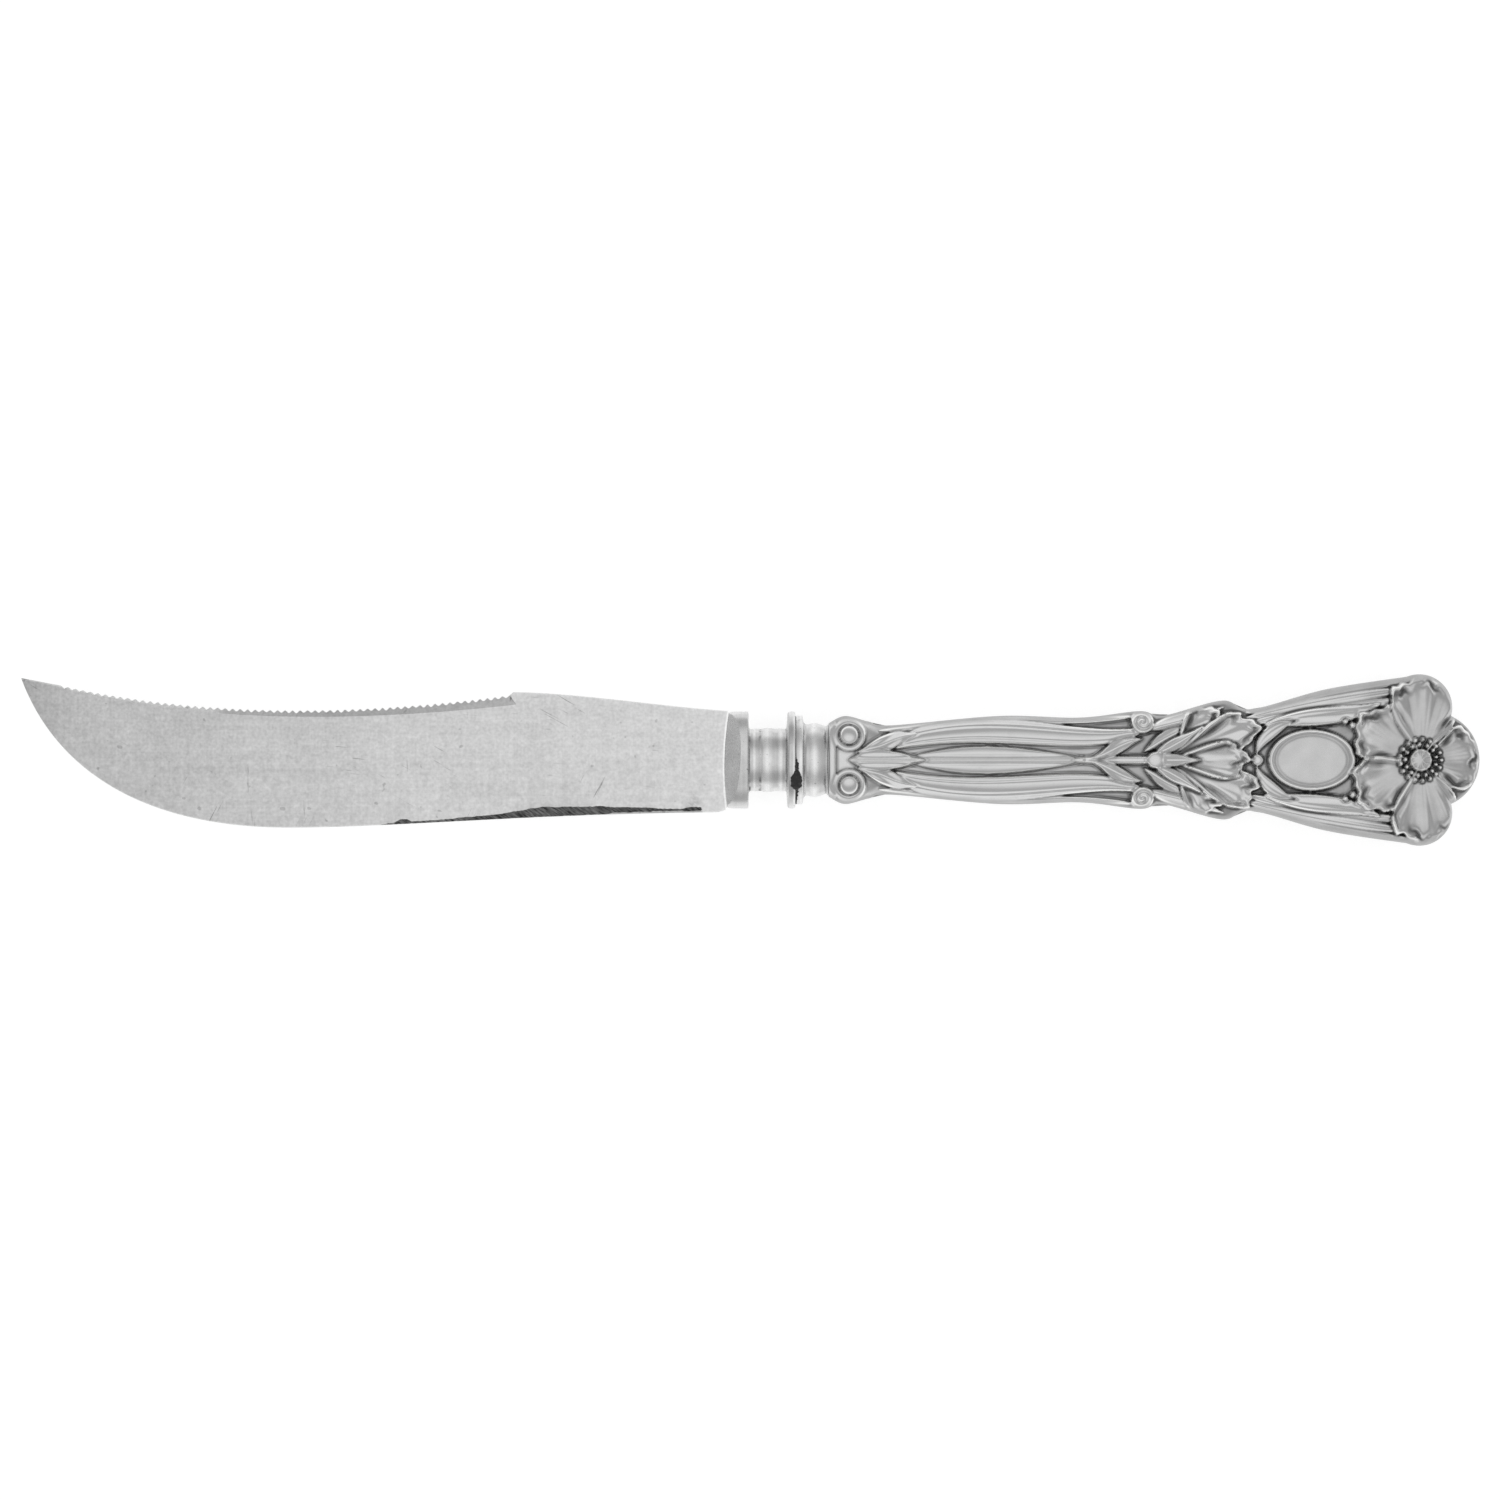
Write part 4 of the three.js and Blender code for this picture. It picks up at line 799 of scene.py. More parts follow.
ring = np.maximum(np.hypot(y / DRUM_HIGH, z / DRUM_THICK), 1e-6)
squarer = 2 / DRUM_POWER
for axis, value, half in ((1, y, DRUM_HIGH), (2, z, DRUM_THICK)):
    share = value / (half * ring)
    moved = half * ring * np.sign(share) * np.abs(share) ** squarer
    corners[:, axis] = np.where(in_drum, moved, value) + (SEAM_Z if axis == 2 else 0)
lean = smooth((HEEL_X + LEAN_LENGTH - corners[:, 0]) / LEAN_LENGTH)
corners[:, 0] += HEEL_SKEW * corners[:, 1] * lean
move_corners(bolster, corners)
print(f"bolster: {len(corners)} corners before its facets are cut")

# %% [markdown]
# Facets of the bolster
#
# On each face of the knife a file cut the drum away at a slant, which leaves a lens-shaped facet. Bisect
# makes such a cut with a plane, clears what lies outside and fills the opening. Its plane is given by a
# point and a normal. The normal is made one unit long first, because the operator cuts off any part of it
# that is larger than 1, and the plane would then lean the wrong way.

# %% Facets of the bolster
FACET_SLOPE, FACET_FOOT, FACET_SKEW = 1.26, 1.25, 0.045
BOTH = (1, -1)
facet_normal = np.array([-FACET_SLOPE, FACET_SLOPE * FACET_SKEW, 1])
facet_normal = facet_normal / np.linalg.norm(facet_normal)
bpy.ops.object.mode_set(mode="EDIT")
for side in BOTH:
    bpy.ops.mesh.select_all(action="SELECT")
    bpy.ops.mesh.bisect(
        plane_co=(HEEL_X * MM, 0, (SEAM_Z + side * FACET_FOOT) * MM),
        plane_no=facet_normal * (1, 1, side),
        use_fill=True,
        clear_outer=True,
        threshold=SAME_PLACE,
    )
bpy.ops.object.mode_set(mode="OBJECT")
close_up()
corners = corners_mm(bolster)
behind_heel, away = corners[:, 0] - HEEL_X, np.abs(corners[:, 1])
# grooves and the cove before the flange are dark: dirt, and painted shade
grime_and_groove_shade = bands(behind_heel, [(2.85, 0.12), (4.12, 0.16), (7.3, 0.1)])
# less is painted in the middle, where the groove is shaded by its own overhang
grime_and_groove_shade = grime_and_groove_shade * (0.15 + 0.85 * smooth((away - 1.6) / 1.4))
# bands on the beads and the flange edge: polish, and painted highlights
polish_and_highlight = bands(behind_heel, [(3.4, 0.15), (5.0, 0.55), (6.65, 0.25), (8.3, 0.12)])
# on the drum: a painted reflection brightens the ends and a painted highlight lies above the middle
on_drum = 0.45 * smooth((away - 2.5) / 1.5) + 0.25 * bump(corners[:, 1] - 1.2, 1.5) - 0.12
polish_and_highlight = np.where(corners[:, 0] < HEEL_X + DRUM_LENGTH, on_drum, polish_and_highlight)
store_wear_and_light(bolster, grime_and_groove_shade, polish_and_highlight)

# %% [markdown]
# Slot of the bolster
#
# The tang passes through a slot, which a Boolean modifier cuts with a plain bar. The bar is a tool and is
# thrown away. The two facets are found again by their normals, marked for the finish, and their borders
# are made sharp, so that smooth shading doesn't run over them.

# %% Slot of the bolster
SLOT_SIZE, SLOT_X = (9.6, 4.4, 1.14), 4
deselect()
bpy.ops.mesh.primitive_cube_add(size=1, location=((HEEL_X + SLOT_X) * MM, 0, SEAM_Z * MM))
slot_tool = bpy.context.object
slot_tool.scale = [side * MM for side in SLOT_SIZE]
deselect()
bolster.select_set(True)
bpy.context.view_layer.objects.active = bolster
cut = bolster.modifiers.new("slot for the tang", "BOOLEAN")
cut.object = slot_tool
cut.operation = "DIFFERENCE"
bpy.ops.object.modifier_apply(modifier=cut.name)
bpy.data.objects.remove(slot_tool)
settle(bolster, TURNED_SILVER, "bolster_silver", "bolster", angle=28)
cut_flat = [
    np.abs(np.array(face.normal) * (1, 1, math.copysign(1, face.normal.z)) - facet_normal).max() < 0.002
    for face in bolster.data.polygons
]
store(bolster, "facet", cut_flat, "FACE")
facets = [face for face, flat in zip(bolster.data.polygons, cut_flat) if flat]
creases = {key for face in facets for key in face.edge_keys}
for border in bolster.data.edges:
    border.use_edge_sharp = border.use_edge_sharp or border.key in creases
print("facets of the bolster, square mm:", [round(face.area / MM ** 2, 2) for face in facets])

# %% [markdown]
# The ferrule
#
# A short tube with a lip at the joint, a round bead and a groove before the handle. It is made like the
# bolster, but the profile goes on round the end and back through the bore, and its last ring lies on the
# first, so that merging the two closes the tube. The list gives each place behind the joint, half the
# height there, and the thickness as a share of the height. The lip leans, because the open joint gapes
# more on one side.

# %% The ferrule
outside = [
    (-0.16, 5.3, 0.818), (-0.15, 5.44, 0.818), (-0.06, 5.5, 0.818), (0.5, 5.5, 0.818), (0.62, 5.42, 0.82),
    (0.68, 5.2, 0.82), (0.72, 4.75, 0.84), (0.9, 4.5, 0.85), (1.2, 4.4, 0.85), (1.6, 4.5, 0.85),
    (2.1, 4.6, 0.85), (2.6, 4.5, 0.85), (3.0, 4.36, 0.85), (3.3, 4.25, 0.85), (3.45, 4.18, 0.85),
    (3.58, 4.2, 0.85), (3.7, 4.4, 0.85), (3.78, 4.4, 0.85),
]
tube = rounded([(FERRULE_X + x, high, high * flat) for x, high, flat in outside])
BORE_HIGH, BORE_THICK = 3.1, 2.2
bore = [(x, BORE_HIGH, BORE_THICK) for x in (tube[-1][0], tube[0][0])]
ferrule = turned("ferrule_turned", np.concatenate([tube, bore, tube[:1]]))
close_up(merge=10 * SAME_PLACE)
corners = corners_mm(ferrule)
shut = 0.1 * smooth((corners[:, 1] + 1.5) / 3) * (corners[:, 0] < FERRULE_X + 0.1)
corners[:, 0] -= shut
move_corners(ferrule, corners)
behind_joint = corners[:, 0] - FERRULE_X
# grooves are dark, dirt and painted shade; the bands of the lip and the body are polish and painted
# highlights
grime_and_groove_shade = 0.6 * bands(behind_joint, [(0.8, 0.08), (3.45, 0.1), (3.78, 0.05)])
store_wear_and_light(ferrule, grime_and_groove_shade, bands(behind_joint, [(0.4, 0.3), (2.0, 0.5)]))
settle(ferrule, TURNED_SILVER, "handle_silver", "ferrule", angle=28)

# %% [markdown]
# Cement in the joint
#
# The old joint between bolster and ferrule has opened, and the black cement shows in it as a thin ragged
# line that swells to a blob on the front. A torus is stretched over the oval of the joint, its tube is
# made thick or thin by how far round it is, in degrees, and a few waves of different length roughen it.

# %% Cement in the joint
JOINT_X = (FLANGE_X + FERRULE_X) / 2
JOINT_HIGH, JOINT_THICK, TUBE = 4.9, 3.95, 0.2
BLOB_AT, BLOB_REACH = 62.5, 12.5
deselect()
bpy.ops.mesh.primitive_torus_add(major_segments=360, minor_segments=20, major_radius=1, minor_radius=TUBE)
joint = bpy.context.object
joint.name = joint.data.name = "joint_cement_bead"
flat = corners_of(joint).astype(float)
angle = np.arctan2(flat[:, 1], flat[:, 0])
out = (np.hypot(flat[:, 0], flat[:, 1]) - 1) / TUBE
side = flat[:, 2] / TUBE
turn = np.degrees(angle)
blob = np.exp(-(((turn - BLOB_AT) / BLOB_REACH) ** 4))
tail = 0.42 * smooth((turn - 58) / 10) * smooth((102 - turn) / 26)
tail = tail + 0.3 * smooth((64 - turn) / 10) * smooth((turn - 8) / 40)
ripple = 0.5 + 0.5 * np.sin(7 * angle + 1) * np.sin(17 * angle + 2) * np.sin(41 * angle)
lumps = 0.16 * np.sin(37 * angle + 4 * side) + 0.14 * np.sin(61 * angle - 3 * side + 1)
lumps = 1 + (lumps + 0.12 * np.sin(97 * angle)) * (1 - 0.72 * blob)
blob = np.maximum(blob, tail)
oozed = smooth((112 - np.abs(turn)) / 24)
wide = (0.05 + (0.03 + 0.04 * ripple) * oozed + 0.6 * blob) * lumps
proud = (0.1 + 0.1 * ripple * oozed + 0.35 * blob) * lumps
high = JOINT_HIGH + 0.35 * oozed + 0.4 * blob + proud * out
thick = JOINT_THICK + 0.35 * oozed + 0.35 * blob + proud * out
spots = np.stack([JOINT_X + wide * side, -high * np.cos(angle), SEAM_Z + thick * np.sin(angle)], 1)
move_corners(joint, spots)
close_up()
settle(joint, CEMENT, "cement", "joint_cement", angle=180)

# %% [markdown]
# Outline of the handle
#
# The handle is drawn on its own plane: `u` runs from the mouth to the end and `v` across. A smooth curve
# through a few stations gives the shaft, the knuckle, the shoulders and the flare, and three circles give
# the lobes of the end. The stations are those of the solid, so the detailed handle fills the same outline.

# %% Outline of the handle
SIDE_LOBE, SIDE_LOBE_RADIUS = (HANDLE_LENGTH - 7.4, 6.6), 4.0
END_LOBE, END_LOBE_RADIUS = HANDLE_LENGTH - 6.0, 6.0
FOCUS = HANDLE_LENGTH - 7.8
JOIN = math.radians(112)
SHAFT = [
    (0, 4.55), (2.0, 5.45), (4.9, 4.775), (7.8, 4.3), (21.0, 5.45), (31.0, 5.25), (38.4, 6.05), (41.4, 5.5),
    (48.6, 7.35), (52.3, 6.3), (61.5, 8.75),
    (SIDE_LOBE[0] + SIDE_LOBE_RADIUS * math.cos(JOIN), SIDE_LOBE[1] + SIDE_LOBE_RADIUS * math.sin(JOIN)),
]


def curve_through(points, steps=40):
    """A smooth curve through points, each piece shaped by its neighbours."""
    points = np.array(points, float)
    padded = np.concatenate([points[:1], points, points[-1:]])
    t = np.linspace(0, 1, steps, endpoint=False)[:, None]
    pieces = []
    for before, start, end, after in zip(padded, padded[1:], padded[2:], padded[3:]):
        leave, arrive = (end - before) / 2, (after - start) / 2
        cubed = 2 * start - 2 * end + leave + arrive
        squared = -3 * start + 3 * end - 2 * leave - arrive
        pieces.append(cubed * t ** 3 + squared * t ** 2 + leave * t + start)
    return np.concatenate(pieces + [points[-1:]])


def arc(centre, radius, start, stop, steps=60):
    turn = np.linspace(start, stop, steps)
    return np.stack([centre[0] + radius * np.cos(turn), centre[1] + radius * np.sin(turn)], 1)


apart = math.hypot(END_LOBE - SIDE_LOBE[0], SIDE_LOBE[1])
along = (apart ** 2 + SIDE_LOBE_RADIUS ** 2 - END_LOBE_RADIUS ** 2) / (2 * apart)
aside = math.sqrt(SIDE_LOBE_RADIUS ** 2 - along ** 2)
toward = ((END_LOBE - SIDE_LOBE[0]) / apart, -SIDE_LOBE[1] / apart)
cross = (
    SIDE_LOBE[0] + along * toward[0] - aside * toward[1],
    SIDE_LOBE[1] + along * toward[1] + aside * toward[0],
)
side_stop = math.atan2(cross[1] - SIDE_LOBE[1], cross[0] - SIDE_LOBE[0])
end_start = math.atan2(cross[1], cross[0] - END_LOBE)
upper_edge = np.concatenate([
    curve_through(SHAFT),
    arc(SIDE_LOBE, SIDE_LOBE_RADIUS, JOIN, side_stop)[1:],
    arc((END_LOBE, 0), END_LOBE_RADIUS, end_start, 0)[1:],
])
print(f"outline: {len(upper_edge)} points on each side, widest {2 * upper_edge[:, 1].max():.2f} mm")

# %% [markdown]
# A sheet of silver to work on
#
# A die sinker cuts a relief by laying one form over another. Here the sheet is a grid of heights, 0.08 mm
# apart, and each leaf or petal is laid on it in turn: inside its outline the sheet takes the form's
# height, and just outside it is pressed down, which leaves the dark line that parts two forms. Sculpting
# by brush could do the same, but a grid of heights is exact, quick and the same each time.

# %% A sheet of silver
GRID = 0.08
SHEET_LOW = (-0.4, -11.2)
sheet_u, sheet_v = np.meshgrid(
    np.arange(SHEET_LOW[0], HANDLE_LENGTH - SHEET_LOW[0], GRID),
    np.arange(SHEET_LOW[1], -SHEET_LOW[1], GRID),
    indexing="ij",
)
sheet = np.zeros(sheet_u.shape)


def patch(low, high, margin):
    """The part of the sheet round a form, as two slices."""
    first = np.clip(((np.array(low) - margin - SHEET_LOW) / GRID).astype(int), 0, None)
    last = ((np.array(high) + margin - SHEET_LOW) / GRID).astype(int) + 1
    return slice(first[0], max(last[0], 1)), slice(first[1], max(last[1], 1))


def lay(where, inside, heights, press=0.18, reach=0.25):
    """Lays a form on the sheet; inside is the distance in from its outline."""
    old = sheet[where] - press * bump(np.minimum(inside, 0), reach) * (inside < 0)
    cover = smooth(0.5 + inside / 0.12)
    sheet[where] = old * (1 - cover) + heights * cover


def beside(path, u, v):
    """How far along a path each point lies, from 0 to 1, and how far to its left."""
    best = np.full(u.shape, 1e9)
    share, left = np.zeros(u.shape), np.zeros(u.shape)
    legs = np.diff(path, axis=0)
    lengths = np.hypot(legs[:, 0], legs[:, 1])
    starts = np.concatenate([[0], np.cumsum(lengths)])
    for at, leg, length, start in zip(path, legs, lengths, starts):
        du, dv = u - at[0], v - at[1]
        k = np.clip((du * leg[0] + dv * leg[1]) / length ** 2, 0, 1)
        away = np.hypot(du - k * leg[0], dv - k * leg[1])
        nearer = away < best
        best = np.where(nearer, away, best)
        share = np.where(nearer, (start + k * length) / starts[-1], share)
        left = np.where(nearer, np.sign(leg[0] * dv - leg[1] * du) * away, left)
    return share, left


def blurred(values, reach):
    """Each height averaged with its neighbours, twice in each direction."""
    for axis in (0, 1, 0, 1):
        values = np.moveaxis(values, axis, 0)
        wide = np.pad(values, ((reach + 1, reach), (0, 0)), mode="edge")
        total = np.cumsum(wide, axis=0)
        values = np.moveaxis((total[2 * reach + 1:] - total[:-2 * reach - 1]) / (2 * reach + 1), 0, axis)
    return values


print("sheet of", sheet.size, "heights")

# %% [markdown]
# Leaves
#
# A leaf follows a curved path. Its width grows and shrinks along the path, its back is crowned, and it may
# have a raised midrib, engraved lines and a twist that lifts one edge. Stems, straps and ribs are the same
# form with blunt ends.

# %% Leaves
def leaf(points, half, lift, crown=0.45, widest=0.45, blunt=1.0, lines=(), rib=0.0, twist=0.0, press=0.18):
    """half is half its width, lift its heights from end to end, lines are (place across, depth, width)."""
    path = bezier(points, 40)
    where = patch(path.min(0), path.max(0), half + 1.2)
    share, left = beside(path, sheet_u[where], sheet_v[where])
    power = math.log(0.5) / math.log(widest)
    width = half * np.clip(np.sin(np.pi * np.clip(share, 1e-6, 1) ** power), 0, 1) ** blunt
    across = left / np.maximum(width, 1e-3)
    heights = np.interp(share, np.linspace(0, 1, len(lift)), lift)
    heights = heights + crown * (dome(across) - 0.3) * np.minimum(1, 1.5 * width / half)
    heights = heights + twist * np.sin(2 * np.pi * share) * np.clip(across, -1.2, 1.2)
    heights = heights + rib * (bump(left, 0.22) - bump(np.abs(left) - 0.45, 0.25))
    for at, depth, wide in lines:
        heights = heights - depth * bump(across - at, wide)
    lay(where, width - np.abs(left), heights, press)


def on_side(points, side):
    """Points drawn for the upper side of the handle, on the side that is asked for."""
    return [(u, side * v) for u, v in points]


print("a leaf is drawn by its path, half its width and the heights along it")

# %% [markdown]
# Petals
#
# A petal fans out from its base. It is dished in the middle, its rim ruffles up and down, and its lip
# rolls over, with a dark hollow behind the roll. Fine veins run out from the base. The waves and their
# phase differ from petal to petal, as they do on a flower.

# %% Petals
def petal(base, turn, length, spread, lift, tip, dish=0.4, ruffle=0.32, waves=2.5, phase=0.0, veins=9):
    """turn is the way it points and spread half its fan, in degrees; lift and tip are its heights."""
    where = patch(base, base, length * 1.12 + 0.8)
    du, dv = sheet_u[where] - base[0], sheet_v[where] - base[1]
    a, half = math.radians(turn), math.radians(spread)
    x, y = du * math.cos(a) + dv * math.sin(a), dv * math.cos(a) - du * math.sin(a)
    reach, angle = np.hypot(x, y), np.arctan2(y, x)
    n = np.clip(angle / half, -1, 1)
    wave = np.sin(waves * np.pi * n + phase)
    rim = length * np.clip(np.cos(n * np.pi / 2), 0, 1) ** 0.22
    rim = rim * (1 + 0.04 * wave + 0.018 * np.sin(2.7 * waves * np.pi * n + 2 * phase))
    out = np.clip(reach / np.maximum(rim, 1e-3), 0, 1.3)
    inside = np.minimum(rim - reach, (half - np.abs(angle)) * reach)
    inside = np.where(np.abs(angle) > 0.75 * np.pi, -np.maximum(reach, 0.5), inside)
    heights = lift + (tip - lift) * out ** 1.2
    heights = heights - dish * np.sin(np.pi * np.clip(out, 0, 1)) * np.cos(n * np.pi / 2) ** 0.7
    heights = heights + ruffle * smooth((out - 0.3) / 0.7) * wave
    curl = np.clip(0.65 + 0.5 * np.sin(waves * np.pi * n + phase + 0.9), 0, None)
    heights = heights + 0.38 * curl * bump(inside - 0.4, 0.34)
    heights = heights - 0.45 * curl * bump(inside - 1.2, 0.45) * smooth((out - 0.35) / 0.3)
    heights = heights - 0.5 * smooth((0.28 - inside) / 0.3)
    vein = np.abs(np.cos(veins * np.pi * n / 2 + 0.35 * np.sin(4 * out + phase)))
    heights = heights + 0.035 * (vein - 0.6) * smooth(out * 2.2) * smooth((1 - out) * 6)
    lay(where, inside, heights, 0.25, 0.3)


def button(centre, radius, heights_of, press=0.18):
    """A round form: heights_of takes the distance from its middle and the angle round it."""
    where = patch(centre, centre, radius + 1.2)
    du, dv = sheet_u[where] - centre[0], sheet_v[where] - centre[1]
    away = np.hypot(du, dv)
    lay(where, radius - away, heights_of(away, np.arctan2(dv, du)), press)


print("forms to lay: leaf, petal and button")

# %% [markdown]
# Relief of the shaft
#
# From the mouth: a plain moulding, two round studs, three small leaves, two broad straps that run along
# the shaft with a thin reed outside each, and one long leaf between them that turns into the stem of a
# flower. What lies underneath is laid first. Each pair is laid on both sides of the axis by
# `for side in BOTH`. Lengths and heights are in millimetres, along the handle from its mouth.

# %% Relief of the shaft
sheet += 0.55 * (1 - smooth((sheet_u - 2.6) / 3.4))
mouth = patch((0, -11), (0.9, 11), 0.3)
lay(mouth, 0.85 - sheet_u[mouth], 0.75 + 0.3 * dome((sheet_u[mouth] - 0.4) / 0.6))
for side in BOTH:
    reed = [(6.2, 3.6), (12, 3.9), (18, 5.3), (26, 4.8), (32, 4.7), (37.6, 5.4)]
    leaf(on_side(reed, side), 0.6, (0.3, 0.45, 0.45), crown=0.35, widest=0.5, blunt=0.4)
    strap = [(5.5, 1.2), (10, 2.9), (17, 4.7), (25, 3.6), (33, 1.5), (38.7, 3.8)]
    engraved = ((-0.52 * side, 0.16, 0.1), (0.5 * side, 0.16, 0.1), (0.78 * side, 0.12, 0.08))
    leaf(on_side(strap, side), 1.45, (0.55, 0.65, 0.75), 0.55, 0.5, 0.45, engraved, press=0.25)
leaf([(9, 0), (16, 0), (24, 0), (33, 0)], 1.75, (0.3, 0.45, 0.5), 0.5, 0.42, rib=0.16, press=0.2)
leaf([(30, 0), (35, 0), (42, 0)], 0.55, (0.6, 0.8, 1.0), 0.4, 0.5, 0.3)
for side in BOTH:
    spray = [(31.5, 0.1), (34.4, 0.2), (35.4, 2.5), (38.6, 2.6)]
    leaf(on_side(spray, side), 0.85, (0.6, 0.9, 0.7), 0.45, 0.55, rib=0.1, twist=0.15 * side)
    small = [(3.4, 1.0), (6.5, 1.1), (7.5, 3.1), (10.8, 3.2)]
    leaf(on_side(small, side), 1.05, (0.8, 1.0, 0.7), 0.5, rib=0.12, twist=0.2 * side)
leaf([(2.4, 0), (6, 0), (12, 0)], 1.3, (0.9, 1.05, 0.7), 0.55, 0.4, rib=0.16)
for side in BOTH:
    stud = (2.45, side * 3.1)
    button(stud, 2.05, lambda r, a: 0.8 + 0.1 * bump(r - 1.7, 0.3) - 0.3 * bump(r - 1.2, 0.12), 0.08)
    button(stud, 1.14, lambda r, a: 0.85 + 0.5 * dome(r / 1.2), 0.12)
print(f"shaft: heights from {sheet.min():.2f} to {sheet.max():.2f} mm")

# %% [markdown]
# Relief of the middle
#
# The straps end in two scrolls at the knuckle. Over them opens a half-open flower with five ruffled
# petals, seen from the side, and beyond it lies a plain oval shield with three ribs flaring past it on
# each side and a long leaf beside it.

# %% Relief of the middle
for side in BOTH:
    throat = [(38.8, 3.6), (41.6, 4.5), (44.6, 5.0), (48.6, 6.5)]
    leaf(on_side(throat, side), 0.95, (0.5, 0.6, 0.5), rib=0.1, twist=0.15 * side)
    inner = [(38.6, 1.0), (40.6, 2.2), (42.4, 3.6), (45.4, 4.2)]
    leaf(on_side(inner, side), 0.9, (0.35, 0.5, 0.5), rib=0.1)

    def scroll(r, a, side=side):
        coil = 0.2 * np.cos(2 * np.pi * r / 0.72 - side * a) * smooth(r / 0.35)
        return 0.75 + 0.35 * dome(r / 1.6) + coil

    button((38.5, side * 4.7), 1.45, scroll)
for side in BOTH:
    for near, far in ((5.85, 9.75), (5.1, 8.6), (4.35, 7.4)):
        rib = [(51.4, near), (56, near + 1.05), (63, far - 0.95), (72.4, far + 0.25)]
        leaf(on_side(rib, side), 0.66, (0.35, 0.5, 0.4), 0.4, 0.5, 0.3, lines=((0, 0.12, 0.2),))
SHIELD = (59.3, 5.4, 3.8)
oval = patch((SHIELD[0], 0), (SHIELD[0], 0), 7)
gap = (1 - np.hypot((sheet_u[oval] - SHIELD[0]) / SHIELD[1], sheet_v[oval] / SHIELD[2])) * SHIELD[2]
lay(oval, gap, 0.62 + 0.2 * bump(gap - 0.26, 0.2) - 0.16 * bump(gap - 0.66, 0.16), 0.2)
for side in BOTH:
    long_leaf = [(53.4, 4.2), (58.5, 5.7), (64, 5.0), (67.8, 7.0)]
    lines = ((0.3 * side, 0.12, 0.12),)
    leaf(on_side(long_leaf, side), 1.1, (0.75, 0.95, 0.8), 0.5, 0.5, 0.7, lines, twist=0.2 * side)
for side in BOTH:
    crescent = [(52.5, 0.7), (52.8, 2.5), (54.3, 4.0), (57.4, 4.9)]
    leaf(on_side(crescent, side), 0.85, (0.4, 0.55, 0.45), lines=((0.2 * side, 0.1, 0.15),))
    for u, v, radius in ((65.4, 3.5, 0.62), (64.4, 4.3, 0.5), (63.4, 4.75, 0.4)):
        button((u, side * v), radius, lambda r, a, radius=radius: 0.3 + 0.45 * dome(r / radius))
button((52.6, 0), 0.75, lambda r, a: 0.4 + 0.4 * dome(r / 0.8))
for side in BOTH:
    petal((42.2, side * 1.2), side * 40, 7.3, 33, 0.6, 1.0, waves=2.8, phase=0.4 + 0.7 * side)
for side in BOTH:
    petal((41, 0), side * 21, 12.3, 19, 0.7, 1.1, ruffle=0.26, waves=2.2, phase=0.4 + 1.9 * side, veins=7)
petal((41, 0), 0, 10.4, 21, 0.9, 1.2, ruffle=0.26, waves=2.6, phase=0.9, veins=8)
for side in BOTH:
    sepal = [(39.6, 0.3), (41.5, 1.5), (43.5, 2.4), (46, 4.2)]
    leaf(on_side(sepal, side), 0.75, (1.0, 1.15, 1.1), 0.4, 0.4, rib=0.1)
leaf([(39.4, 0), (42, 0), (45.8, 0)], 0.85, (1.1, 1.2, 1.1), 0.4, 0.35, rib=0.1)
button((40, 0), 1.05, lambda r, a: 1.0 + 0.4 * dome(r / 1.1))
print(f"middle: heights from {sheet.min():.2f} to {sheet.max():.2f} mm")

# %% [markdown]
# Relief of the end
#
# A wide open flower fills the end of the handle: two petals lean back over the shield, one fills the end
# lobe, and two lie on top and fill the side lobes. Two rings of stamens stand round a ribbed seed head.
# The relief is then done. Its deepest places are eased up and the whole sheet is softened a little, because
# struck metal never fills a die quite sharply.

# %% Relief of the end
OPEN_FLOWER = (FOCUS, 0.0)
petal(OPEN_FLOWER, 2, 7.9, 50, 0.4, 0.85, 0.4, waves=3.0, phase=0.5, veins=15)
petal(OPEN_FLOWER, 147, 9.1, 39, 0.45, 0.95, 0.45, waves=2.6, phase=2.1, veins=13)
petal(OPEN_FLOWER, -149, 9.1, 39, 0.55, 1.0, 0.45, waves=2.6, phase=0.3, veins=13)
petal(OPEN_FLOWER, 84, 10.5, 41, 0.7, 1.0, 0.5, waves=3.2, phase=1.2, veins=13)
petal(OPEN_FLOWER, -82, 10.5, 41, 0.7, 1.0, 0.5, waves=3.2, phase=2.6, veins=13)
middle = patch(OPEN_FLOWER, OPEN_FLOWER, 4)
du, dv = sheet_u[middle] - OPEN_FLOWER[0], sheet_v[middle]
for radius, number, size, start in ((2.5, 17, 0.28, 0.0), (1.9, 13, 0.27, 0.2)):
    step = 2 * math.pi / number
    nearest = np.round((np.arctan2(dv, du) - start) / step) * step + start
    away = np.hypot(du - radius * np.cos(nearest), dv - radius * np.sin(nearest))
    lay(middle, size - away, 1.05 + 0.28 * dome(away / (size * 1.05)), 0.2, 0.2)


def seed_head(r, a):
    return 0.95 + 0.5 * dome(r / 1.5) + 0.1 * np.cos(9 * a) * smooth(r / 0.5)


button(OPEN_FLOWER, 1.4, seed_head, 0.2)
DEEPEST = -0.45
sheet = np.where(sheet < 0, DEEPEST * np.tanh(sheet / DEEPEST), sheet)
sheet = (sheet + blurred(sheet, 1)) / 2
print(f"end: heights from {sheet.min():.2f} to {sheet.max():.2f} mm")

# %% [markdown]
# Rulings of the shell
#
# The sheet has to be wrapped over the rounded body of the handle. Straight rulings run from the spine to
# the edge, and round the end they fan out from the middle of the open flower. Along a ruling the body is
# a rounded arch, highest on the spine and upright at the edge, and the relief stands on it, dying away
# just before the edge.

